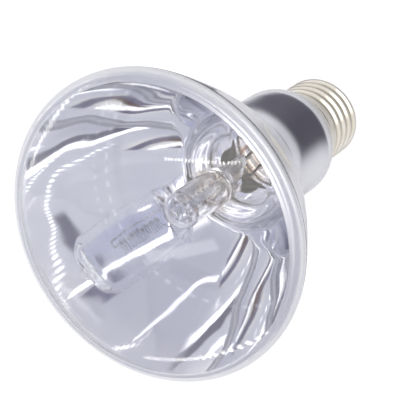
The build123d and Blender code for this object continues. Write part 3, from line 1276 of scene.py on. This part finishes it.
    def make(self, wardrobe: Wardrobe) -> None:
        """Builds and dresses the capsule and what it holds.

        Args:
            wardrobe: the finishes.
        """
        quartz = self.build_quartz()
        wardrobe.dress(quartz, wardrobe.materials[Slot.QUARTZ])
        seat(quartz, Slot.QUARTZ, "capsule_glass")
        filament = self.build_filament(wardrobe.materials[Slot.TUNGSTEN])
        seat(filament, Slot.TUNGSTEN, "filament")
        wardrobe.dress_nodes(Slot.MOLYBDENUM, "foil_left", "foil_right")
        wardrobe.dress_nodes(Slot.MOLYBDENUM, "capsule_pin_left", "capsule_pin_right")


class Stem:
    """The glass stem and the wires that run through it."""

    def make(self, wardrobe: Wardrobe) -> None:
        """Dresses the stem and its wires.

        Args:
            wardrobe: the finishes.
        """
        wardrobe.dress_nodes(Slot.STEM_GLASS, "glass_stem")
        wardrobe.dress_nodes(Slot.LEAD_WIRE, "inner_lead_left", "inner_lead_right")
        wardrobe.dress_nodes(Slot.COPPER_WIRE, "seal_wire_left", "seal_wire_right")
        wardrobe.dress_nodes(Slot.COPPER_WIRE, "centre_lead", "side_lead")


def thread_tree() -> bpy.types.NodeTree:
    """Rolls a knuckle thread into a turned blank, as an eccentric circle that turns once a pitch.

    Returns:
        The geometry node tree, with the thread's sizes going in.
    """
    nodes, given, result = new_group(
        "rolled_thread", "GeometryNodeTree",
        {
            "Blank": "Geometry", "Pitch": "Float", "Crest radius": "Float", "Depth": "Float",
            "Start": "Float", "Foot": "Float", "Head": "Float", "Bore": "Float", "Material": "Material",
        },
        {"Shell": "Geometry"},
    )
    x, y, z = nodes.split(nodes.add("GeometryNodeInputPosition").outputs[0])
    squares = nodes.math("ADD", nodes.math("MULTIPLY", x, x), nodes.math("MULTIPLY", y, y))
    radius = nodes.math("SQRT", squares)
    turns = nodes.math("DIVIDE", nodes.math("SUBTRACT", z, given["Start"]), given["Pitch"])
    lag = nodes.math("SUBTRACT", nodes.math("ARCTAN2", y, x), nodes.math("MULTIPLY", turns, 2 * math.pi))
    throw = nodes.math("MULTIPLY", given["Depth"], 0.5)
    disc = nodes.math("SUBTRACT", given["Crest radius"], throw)
    across = nodes.math("MULTIPLY", throw, nodes.math("SINE", lag))
    along = nodes.math("MULTIPLY", throw, nodes.math("COSINE", lag))
    disc_square = nodes.math("MULTIPLY", disc, disc)
    chord_square = nodes.math("SUBTRACT", disc_square, nodes.math("MULTIPLY", across, across))
    rolled = nodes.math("ADD", along, nodes.math("SQRT", chord_square))
    root = nodes.math("SUBTRACT", given["Crest radius"], given["Depth"])
    run_in = nodes.math("ADD", root, nodes.math("SUBTRACT", z, given["Foot"]))
    limited = nodes.math("MINIMUM", rolled, run_in)
    grown = nodes.math("DIVIDE", nodes.math("MAXIMUM", radius, limited), radius)
    outside = nodes.math("GREATER_THAN", radius, given["Bore"])
    below = nodes.math("LESS_THAN", z, given["Head"])
    moved = nodes.add("ShaderNodeCombineXYZ", {
        0: nodes.math("MULTIPLY", x, grown), 1: nodes.math("MULTIPLY", y, grown), 2: z,
    })
    shaped = nodes.add("GeometryNodeSetPosition", {
        "Geometry": given["Blank"], "Selection": nodes.math("MULTIPLY", outside, below),
        "Position": moved.outputs[0],
    })
    nodes.feed(result["Shell"], dressed(nodes, shaped.outputs[0], given["Material"]))
    return nodes.tree


@dataclass
class ScrewCap:
    """The screw cap: rolled shell, cement, black glass, contact and solder.

    Attributes:
        lip: height of the shell's lower edge.
        top: height of its upper edge.
        crest_radius: radius at the thread's crests.
        depth: depth of the thread.
        pitch: height of one turn of the thread.
        sheet: thickness of the rolled sheet.
        relief: how far the blank lies under the thread's roots.
        lip_rise: height of the lip, up to the thread's foot.
        lip_inset: how far the lip turns in.
        skirt_step: how far the skirt lies inside the crests.
        skirt_flare: height over which the thread runs out into the skirt.
        skirt_length: straight height of the skirt.
        edge: width of the bevels on the skirt's rim.
        step: longest distance between two rings where the thread is rolled.
        plain_step: longest distance between two rings elsewhere.
        segments: points in a ring.
    """

    lip: float
    top: float
    crest_radius: float = THREAD_CREST
    depth: float = THREAD_DEPTH
    pitch: float = 3.629 * MM
    sheet: float = 0.3 * MM
    relief: float = 0.02 * MM
    lip_rise: float = 1.8 * MM
    lip_inset: float = 1.15 * MM
    skirt_step: float = 0.05 * MM
    skirt_flare: float = 1.0 * MM
    skirt_length: float = 1.7 * MM
    edge: float = 0.1 * MM
    step: float = 0.14 * MM
    plain_step: float = 1 * MM
    segments: int = 224

    def build_shell(self, material: bpy.types.Material) -> bpy.types.Object:
        """Turns the blank and rolls the thread into it.

        Args:
            material: the shell's metal.

        Returns:
            The shell as a plain mesh.
        """
        foot = self.lip + self.lip_rise
        skirt = self.top - self.skirt_length
        head = skirt - self.skirt_flare
        root = self.crest_radius - self.depth - self.relief
        bore = root + self.relief - self.sheet
        skirt_outside = self.crest_radius - self.skirt_step
        skirt_bore = skirt_outside - self.sheet
        lip_bore = bore - self.lip_inset
        rolled = [(lip_bore + self.sheet, self.lip), (root, foot), (root, head), (skirt_outside, skirt)]
        plain = [
            (skirt_outside, self.top - self.edge), (skirt_outside - self.edge, self.top),
            (skirt_bore + self.edge, self.top), (skirt_bore, self.top - self.edge),
            (skirt_bore, skirt), (bore, head), (bore, foot), (lip_bore, self.lip),
        ]
        corners = rolled + plain
        loop: Loop = []
        for number, (first, last) in enumerate(zip(corners, corners[1:] + corners[:1])):
            loop += evenly(first, last, self.step if number < len(rolled) else self.plain_step)
        points, rings = lathe(loop[::-1], self.segments, closed=True)
        shell = piece_from("screw_shell", points, ring_faces(rings, closed=True))
        evaluate(shell, thread_tree(), {
            "Pitch": self.pitch, "Crest radius": self.crest_radius, "Depth": self.depth, "Start": self.lip,
            "Foot": foot, "Head": skirt, "Bore": root - self.sheet / 2, "Material": material,
        })
        return shell

    def make(self, wardrobe: Wardrobe) -> None:
        """Builds the shell and dresses the cap's pieces.

        Args:
            wardrobe: the finishes.
        """
        shell = self.build_shell(wardrobe.materials[Slot.CAP_METAL])
        seat(shell, Slot.CAP_METAL, "cap_shell")
        wardrobe.dress_nodes(Slot.CEMENT, "cap_cement")
        wardrobe.dress_nodes(Slot.BLACK_GLASS, "cap_insulator")
        wardrobe.dress_nodes(Slot.CONTACT_BRASS, "centre_contact")
        wardrobe.dress_nodes(Slot.SOLDER, "centre_solder", "side_solder")


@dataclass
class PhotoCamera:
    """The camera, at the photograph's viewing angle.

    Attributes:
        facing: direction from the lamp's axis to the camera, over the floor.
        tilt: angle between the lamp's axis and the way to the camera.
        roll: turn of the picture about the way that the camera looks.
        distance: from the camera to the middle of the rim.
        rim_height: height of the rim's middle.
        rim_pixel: where the rim's middle lies in the picture.
        frame_pixels: width and height of the picture.
        focal_pixels: focal length, in the picture's pixels.
        sensor: width of the sensor, in millimetres.
    """

    facing: float = -37.4
    tilt: float = 35.72
    roll: float = 34.0
    distance: float = 651.5 * MM
    rim_height: float = 113 * MM
    rim_pixel: tuple[float, float] = (156.13, 226.99)
    frame_pixels: float = 400.0
    focal_pixels: float = 2284.4
    sensor: float = 36.0

    def axes(self) -> tuple[Vector, Vector]:
        """Works out the studio's level directions.

        Returns:
            The way to the camera over the floor, and the way at right angles to it.
        """
        way = math.radians(self.facing)
        towards = Vector((math.cos(way), math.sin(way), 0.0))
        return towards, towards.cross(UP)

    def build(self) -> None:
        """Makes the camera and looks through it."""
        towards, across = self.axes()
        tilt = math.radians(self.tilt)
        roll = math.radians(self.roll)
        back = towards * math.sin(tilt) + UP * math.cos(tilt)
        level = UP * math.sin(tilt) - towards * math.cos(tilt)
        right = across * math.sin(roll) - level * math.cos(roll)
        down = across * math.cos(roll) + level * math.sin(roll)
        pixel_size = self.distance / self.focal_pixels
        aside, below = ((pixel - self.frame_pixels / 2) * pixel_size for pixel in self.rim_pixel)
        place = UP * self.rim_height + back * self.distance - right * aside - down * below
        data = bpy.data.cameras.new("photo_camera")
        data.sensor_width = self.sensor
        data.lens = self.focal_pixels / self.frame_pixels * self.sensor
        camera = bpy.data.objects.new("photo_camera", data)
        turn = Matrix((right, -down, back)).transposed().to_4x4()
        camera.matrix_world = Matrix.Translation(place) @ turn
        bpy.context.scene.collection.objects.link(camera)
        bpy.context.scene.camera = camera


def edge_fade(nodes: Nodes, past: Value, soft: Value) -> Socket:
    """Returns 1 inside an edge, which eases to 0 where a place is past it by the soft margin."""
    return nodes.ramp(nodes.math("DIVIDE", past, soft), 0.0, 1.0, 1.0, 0.0)


def strip_group() -> bpy.types.NodeTree:
    """Makes the mask of one strip on the tent's ceiling.

    Returns:
        The shader node group, with the ceiling's place and the strip's sizes going in.
    """
    nodes, given, result = new_group(
        "tent_strip", "ShaderNodeTree",
        {
            "Place": "Vector", "Middle": "Vector", "Angle": "Float", "Length": "Float", "Width": "Float",
            "Soft": "Float", "Beads": "Float",
        },
        {"Mask": "Float"},
    )
    offset = nodes.vector("SUBTRACT", given["Place"], given["Middle"])
    turned = nodes.add("ShaderNodeVectorRotate", {
        "Vector": offset, "Angle": nodes.math("MULTIPLY", given["Angle"], -1.0),
    }, rotation_type="Z_AXIS").outputs[0]
    along, aside, _ = nodes.split(turned)
    masks = []
    for value, half in ((along, given["Length"]), (aside, given["Width"])):
        past = nodes.math("SUBTRACT", nodes.math("ABSOLUTE", value), half)
        masks.append(edge_fade(nodes, past, given["Soft"]))
    phase = nodes.math("MULTIPLY", nodes.math("DIVIDE", along, given["Length"]), given["Beads"])
    bead = nodes.ramp(nodes.math("COSINE", phase), *STRIP_BEADS)
    nodes.feed(result["Mask"], nodes.math("MULTIPLY", nodes.math("MULTIPLY", *masks), bead))
    return nodes.tree


def hoop_group() -> bpy.types.NodeTree:
    """Makes the mask of one round stretch on the tent's ceiling.

    Returns:
        The shader node group, with the ceiling's place and the stretch's sizes going in.
    """
    nodes, given, result = new_group(
        "tent_hoop", "ShaderNodeTree",
        {
            "Place": "Vector", "Centre": "Vector", "Radius": "Float", "Middle": "Float", "Edge": "Float",
            "Width": "Float", "Soft": "Float", "Beads": "Float",
        },
        {"Mask": "Float"},
    )
    offset = nodes.vector("SUBTRACT", given["Place"], given["Centre"])
    aside = nodes.math("ABSOLUTE", nodes.math("SUBTRACT", nodes.length(offset), given["Radius"]))
    ring = edge_fade(nodes, nodes.math("SUBTRACT", aside, given["Width"]), given["Soft"])
    first, second, _ = nodes.split(offset)
    turn = nodes.math("SUBTRACT", nodes.math("ARCTAN2", second, first), given["Middle"])
    inside = nodes.math("SUBTRACT", nodes.math("COSINE", turn), given["Edge"])
    part = nodes.math("MULTIPLY", ring, nodes.ramp(inside, *HOOP_ENDS))
    bead = nodes.ramp(nodes.math("COSINE", nodes.math("MULTIPLY", turn, given["Beads"])), *HOOP_BEADS)
    nodes.feed(result["Mask"], nodes.math("MULTIPLY", part, bead))
    return nodes.tree


@dataclass(frozen=True)
class Panel:
    """A strip lamp or a dark gap in the light tent, drawn on a flat ceiling one unit above the lamp.

    Attributes:
        towards: its middle, towards the camera.
        across: its middle, at right angles to that.
        angle: its direction, from the way to the camera.
        length: half its length.
        width: half its width.
        soft: how far its edge fades.
        colour: its light.
        beads: number of separate lights along it, or none.
    """

    towards: float
    across: float
    angle: float
    length: float
    width: float
    soft: float
    colour: Colour
    beads: int = 0

    def mask(self, nodes: Nodes, strip: bpy.types.NodeTree, place: Socket) -> Socket:
        """Draws the panel on the ceiling.

        Args:
            nodes: the world's nodes.
            strip: the group that masks a strip.
            place: the place on the ceiling.

        Returns:
            The panel's mask.
        """
        return nodes.group(
            strip, Place=place, Middle=(self.towards, self.across, 0.0), Angle=math.radians(self.angle),
            Length=self.length, Width=self.width, Soft=self.soft, Beads=self.beads * math.pi,
        ).outputs["Mask"]


@dataclass(frozen=True)
class Hoop:
    """A round stretch of the light tent, on the same ceiling.

    Attributes:
        towards: its centre, towards the camera.
        across: its centre, at right angles to that.
        radius: its radius.
        middle: the direction of its middle, from the way to the camera.
        spread: half the angle that it covers.
        width: half its width.
        soft: how far its edge fades.
        colour: its light.
        beads: number of separate lights round the whole of it, or none.
    """

    towards: float
    across: float
    radius: float
    middle: float
    spread: float
    width: float
    soft: float
    colour: Colour
    beads: int = 0

    def mask(self, nodes: Nodes, ring: bpy.types.NodeTree, place: Socket) -> Socket:
        """Draws the hoop on the ceiling.

        Args:
            nodes: the world's nodes.
            ring: the group that masks a round stretch.
            place: the place on the ceiling.

        Returns:
            The hoop's mask.
        """
        return nodes.group(
            ring, Place=place, Centre=(self.towards, self.across, 0.0), Radius=self.radius,
            Middle=math.radians(self.middle), Edge=math.cos(math.radians(self.spread)), Width=self.width,
            Soft=self.soft, Beads=self.beads,
        ).outputs["Mask"]


@dataclass
class LightTent:
    """The pale tent round the lamp, with the strips and gaps that its mirror and its glass show.

    Attributes:
        fill: its even light on what scatters light.
        cloth: its light overhead.
        shade: its light where the cloth is in shade.
        horizon: its light low down.
        low_edges: where the low light begins and is full, as a distance on the ceiling.
        least_rise: the least slope of a ray that is drawn on the ceiling.
        shade_edges: where the shade begins and is full, across the ceiling.
        folds: number of folds in a unit of the ceiling.
        fold_detail: detail of the folds.
        fold_depth: how far the folds shift the shade.
        hoops: its round strips and gaps.
        panels: its straight strips and gaps, which lie over the round ones.
    """

    fill: Colour = (0.6, 0.6, 0.66)
    cloth: Colour = (0.62, 0.625, 0.7)
    shade: Colour = (0.5, 0.5, 0.59)
    horizon: Colour = (0.88, 0.88, 0.91)
    low_edges: tuple[float, float] = (1.5, 2.6)
    least_rise: float = 0.08
    shade_edges: tuple[float, float] = (0.3, 0.9)
    folds: float = 2.2
    fold_detail: float = 2.0
    fold_depth: float = 0.8
    hoops: tuple[Hoop, ...] = (
        Hoop(0.12, 0.0, 0.925, 214.0, 136.0, 0.006, 0.01, (2.4, 2.4, 2.45), beads=68),
        Hoop(0.12, 0.0, 1.08, 262.0, 75.0, 0.005, 0.01, (2.0, 2.0, 2.05), beads=96),
        Hoop(0.12, -0.1, 0.767, 210.0, 45.0, 0.02, 0.04, (0.14, 0.135, 0.19)),
        Hoop(0.12, -0.1, 1.1, 335.0, 55.0, 0.03, 0.03, (1.8, 1.8, 1.85)),
        Hoop(0.12, -0.1, 1.22, 335.0, 55.0, 0.05, 0.04, (0.16, 0.155, 0.2)),
    )
    panels: tuple[Panel, ...] = (
        Panel(0.05, 0.02, 0.0, 0.14, 0.14, 0.14, (2.2, 2.15, 2.1)),
        Panel(-0.4, -0.12, 70.0, 0.16, 0.08, 0.22, (0.46, 0.48, 0.64)),
        Panel(-0.5, 0.18, 16.0, 0.25, 0.022, 0.03, (2.2, 2.2, 2.25)),
        Panel(-0.53, 0.35, 56.0, 0.14, 0.045, 0.04, (0.14, 0.13, 0.21)),
        Panel(0.435, 0.595, -44.0, 0.4, 0.018, 0.012, (2.6, 2.6, 2.7), beads=30),
        Panel(0.72, 0.0, 0.0, 0.1, 0.14, 0.14, (0.8, 0.79, 0.78)),
        Panel(3.2, 0.4, 90.0, 1.6, 0.5, 0.4, (2.4, 2.4, 2.4)),
        Panel(0.69, 0.02, 82.0, 0.24, 0.018, 0.012, (2.6, 2.6, 2.7), beads=18),
        Panel(0.62, 0.03, 82.0, 0.22, 0.022, 0.014, (0.18, 0.17, 0.25)),
        Panel(0.81, 0.0, 82.0, 0.24, 0.035, 0.02, (0.16, 0.15, 0.22)),
        Panel(1.62, -0.45, 90.0, 0.3, 0.05, 0.04, (2.4, 2.4, 2.5), beads=14),
        Panel(0.76, 0.0, 0.0, 0.035, 0.05, 0.03, (0.14, 0.09, 0.07)),
        Panel(-1.85, -1.33, 5.0, 1.3, 0.02, 0.03, (12.0, 11.8, 11.2), beads=22),
        Panel(-1.9, 1.17, -4.0, 1.3, 0.016, 0.025, (12.0, 11.8, 11.2), beads=22),
        Panel(-0.03, -0.155, 33.0, 0.22, 0.005, 0.008, (14.0, 13.7, 13.0), beads=20),
    )

    def build(self, towards: Vector, across: Vector) -> None:
        """Makes the world: the tent in mirrors and glass, its even light elsewhere, white to the camera.

        Args:
            towards: the way to the camera over the floor.
            across: the way at right angles to it.
        """
        world = bpy.data.worlds.new("light_tent")
        world.use_nodes = True
        bpy.context.scene.world = world
        nodes = Nodes(world.node_tree)
        background = world.node_tree.nodes["Background"]
        ray = nodes.add("ShaderNodeTexCoord").outputs["Generated"]
        rise = nodes.math("MAXIMUM", nodes.split(ray)[2], self.least_rise)
        first = nodes.math("DIVIDE", nodes.dot(ray, tuple(towards)), rise)
        second = nodes.math("DIVIDE", nodes.dot(ray, tuple(across)), rise)
        place = nodes.add("ShaderNodeCombineXYZ", {0: first, 1: second}).outputs[0]
        folds = nodes.add("ShaderNodeTexNoise", {
            "Vector": place, "Scale": self.folds, "Detail": self.fold_detail,
        }).outputs[0]
        shifted = nodes.math("ADD", second, nodes.math("MULTIPLY", folds, self.fold_depth))
        light = nodes.mix(nodes.ramp(shifted, *self.shade_edges), self.cloth, self.shade)
        light = nodes.mix(nodes.ramp(nodes.length(place), *self.low_edges), light, self.horizon)
        for shapes, group in ((self.hoops, hoop_group()), (self.panels, strip_group())):
            for shape in shapes:
                light = nodes.mix(shape.mask(nodes, group, place), light, shape.colour)
        seen = nodes.add("ShaderNodeLightPath").outputs
        light = nodes.mix(seen["Is Diffuse Ray"], light, self.fill)
        nodes.feed(background.inputs["Color"], nodes.mix(seen["Is Camera Ray"], light, WHITE))


class Measure(Enum):
    """How a place on the floor is measured from the lamp's axis."""

    AROUND = "in every direction"
    BEHIND = "away from the camera"
    ASIDE = "at right angles to the way to the camera"


@dataclass(frozen=True)
class Margin:
    """A stretch of the floor over which the white that mirrors and glass show changes.

    Attributes:
        measure: how its places are measured.
        start: where the change begins.
        end: where it ends.
        share: how white the floor is on the white side of it.
    """

    measure: Measure
    start: float
    end: float
    share: float


@dataclass
class Floor:
    """The pale floor, with a dark card of painted shade before the lamp that only its mirror shows.

    Attributes:
        radius: the floor's radius.
        drop: how far it lies under the lamp.
        sides: number of its sides.
        paper: the two colours of its fibres.
        painted_shade_card: the two colours of the dark card's fibres, painted shade that darkens the floor
            the mirror shows.
        fibres: number of fibres in a metre.
        roughness: its roughness.
        glow: strength of its white to the camera.
        shadow_edges: where the lamp's shadow begins to fade and is gone.
        shadow_share: how white the floor is under the shadow.
        foot: where the white round the lamp's foot ends, at the card of painted shade.
        margins: where the white begins again round the card of painted shade.
    """

    radius: float = 3.0
    drop: float = 0.1 * MM
    sides: int = 64
    paper: tuple[Colour, Colour] = ((0.8, 0.8, 0.81), (0.76, 0.76, 0.78))
    # The dark card is painted shade: it darkens the floor that the neck's mirror shows, as if shadow fell
    # there.
    painted_shade_card: tuple[Colour, Colour] = ((0.17, 0.165, 0.19), (0.15, 0.145, 0.17))
    fibres: float = 900.0
    roughness: float = 0.9
    glow: float = 1.08
    shadow_edges: tuple[float, float] = (0.1, 0.4)
    shadow_share: float = 0.93
    foot: Margin = Margin(Measure.AROUND, 35 * MM, 39 * MM, 0.2)
    margins: tuple[Margin, ...] = (
        Margin(Measure.AROUND, 54 * MM, 85 * MM, 0.2),
        Margin(Measure.AROUND, 85 * MM, 600 * MM, 0.5),
        Margin(Measure.BEHIND, 0.0, 50 * MM, 0.3),
        Margin(Measure.ASIDE, 16 * MM, 42 * MM, 0.2),
    )

    def build(self, towards: Vector, across: Vector) -> None:
        """Lays the floor.

        Args:
            towards: the way to the camera over the floor.
            across: the way at right angles to it.
        """
        mesh = bpy.data.meshes.new("floor")
        shape = bmesh.new()
        bmesh.ops.create_circle(shape, cap_ends=True, segments=self.sides, radius=self.radius)
        bmesh.ops.translate(shape, verts=shape.verts, vec=UP * -self.drop)
        shape.to_mesh(mesh)
        shape.free()
        mesh.materials.append(self.finish(towards, across))
        floor = bpy.data.objects.new("floor", mesh)
        bpy.context.scene.collection.objects.link(floor)

    def finish(self, towards: Vector, across: Vector) -> bpy.types.Material:
        """Makes the floor's paper, which takes the lamp's shadow and is nearly white to the camera, with
        the dark card of painted shade where mirrors and glass see no white.

        Args:
            towards: the way to the camera over the floor.
            across: the way at right angles to it.

        Returns:
            The finished material.
        """
        material = bpy.data.materials.new("pale_floor")
        material.use_nodes = True
        nodes = Nodes(material.node_tree)
        shader = material.node_tree.nodes["Principled BSDF"]
        shader.inputs["Roughness"].default_value = self.roughness
        shader.inputs["Specular IOR Level"].default_value = 0.0
        place = nodes.place()
        measured = {
            Measure.AROUND: nodes.length(place),
            Measure.BEHIND: nodes.dot(place, tuple(-towards)),
            Measure.ASIDE: nodes.dot(place, tuple(across)),
        }
        around = measured[Measure.AROUND]
        camera_share = nodes.ramp(around, *self.shadow_edges, self.shadow_share, 1.0)
        # Where mirrors and glass see no white, the floor shows the dark card of painted shade.
        mirror_share = nodes.ramp(around, self.foot.start, self.foot.end, self.foot.share, 0.0)
        for margin in self.margins:
            white = nodes.ramp(measured[margin.measure], margin.start, margin.end, 0.0, margin.share)
            mirror_share = nodes.math("MAXIMUM", mirror_share, white)
        fibres = nodes.add("ShaderNodeTexNoise", {"Vector": place, "Scale": self.fibres}).outputs[0]
        # Painted shade: the card's dark colours where the white share is low, the paper's colours
        # elsewhere.
        clear = nodes.ramp(mirror_share, 0.0, self.foot.share)
        colour = nodes.mix(clear, nodes.mix(fibres, *self.painted_shade_card), nodes.mix(fibres, *self.paper))
        nodes.feed(shader.inputs["Base Color"], colour)
        ray = nodes.add("ShaderNodeLightPath").outputs
        seen = nodes.math("MULTIPLY", ray["Is Camera Ray"], camera_share)
        shown = nodes.math("MAXIMUM", ray["Is Glossy Ray"], ray["Is Transmission Ray"])
        share = nodes.math("MAXIMUM", seen, nodes.math("MULTIPLY", shown, mirror_share))
        glow = nodes.add("ShaderNodeEmission", {"Color": rgba(WHITE), "Strength": self.glow})
        mixed = nodes.add("ShaderNodeMixShader", {0: share, 1: shader.outputs[0], 2: glow.outputs[0]})
        nodes.feed(material.node_tree.nodes["Material Output"].inputs["Surface"], mixed.outputs[0])
        return material


@dataclass
class KeyLamp:
    """One soft lamp behind the object, so that its shadow falls towards the camera.

    Attributes:
        size: width of the lamp's disc.
        power: its power in watts.
        behind: how far it hangs behind the object's axis.
        height: how high it hangs.
    """

    size: float = 0.4
    power: float = 3.0
    behind: float = 0.6
    height: float = 0.85

    def build(self, towards: Vector) -> None:
        """Hangs the lamp, which mirrors and glass don't show.

        Args:
            towards: the way to the camera over the floor.
        """
        data = bpy.data.lights.new("soft_key", "AREA")
        data.shape = "DISK"
        data.size = self.size
        data.energy = self.power
        key = bpy.data.objects.new("soft_key", data)
        place = towards * -self.behind + UP * self.height
        key.matrix_world = Matrix.Translation(place) @ place.to_track_quat("Z", "Y").to_matrix().to_4x4()
        key.visible_glossy = False
        key.visible_transmission = False
        bpy.context.scene.collection.objects.link(key)


@dataclass
class Studio:
    """The camera, the light tent, the floor and the key lamp.

    Attributes:
        camera: the camera, which the rest is turned to.
        tent: the light tent.
        floor: the floor.
        key: the key lamp.
        bounces: most bounces of a ray.
        clear_bounces: most bounces of a ray in the mirror, and as many through the glass.
    """

    camera: PhotoCamera = field(default_factory=PhotoCamera)
    tent: LightTent = field(default_factory=LightTent)
    floor: Floor = field(default_factory=Floor)
    key: KeyLamp = field(default_factory=KeyLamp)
    bounces: int = 48
    clear_bounces: int = 32

    def make(self) -> None:
        """Sets the whole studio."""
        towards, across = self.camera.axes()
        self.camera.build()
        self.tent.build(towards, across)
        self.floor.build(towards, across)
        self.key.build(towards)
        scene = bpy.context.scene
        scene.view_settings.view_transform = "Standard"
        scene.cycles.max_bounces = self.bounces
        scene.cycles.glossy_bounces = self.clear_bounces
        scene.cycles.transmission_bounces = self.clear_bounces


def main() -> None:
    """Builds the lamp's sub-assemblies and the studio."""
    logging.basicConfig(level=logging.INFO, format="%(name)s: %(message)s")
    wardrobe = Wardrobe()
    glass_low, glass_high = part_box("glass_envelope")
    rim_radius = min(glass_high.x, glass_high.y, -glass_low.x, -glass_low.y)
    Envelope(rim_radius, glass_high.z, glass_low.z).make(wardrobe)
    quartz_low, quartz_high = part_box("capsule_glass")
    Capsule(quartz_low.z, quartz_high.z, quartz_high.y).make(wardrobe)
    Stem().make(wardrobe)
    shell_low, shell_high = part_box("cap_shell")
    ScrewCap(shell_low.z, shell_high.z).make(wardrobe)
    Studio().make()


if __name__ == "__main__":
    main()
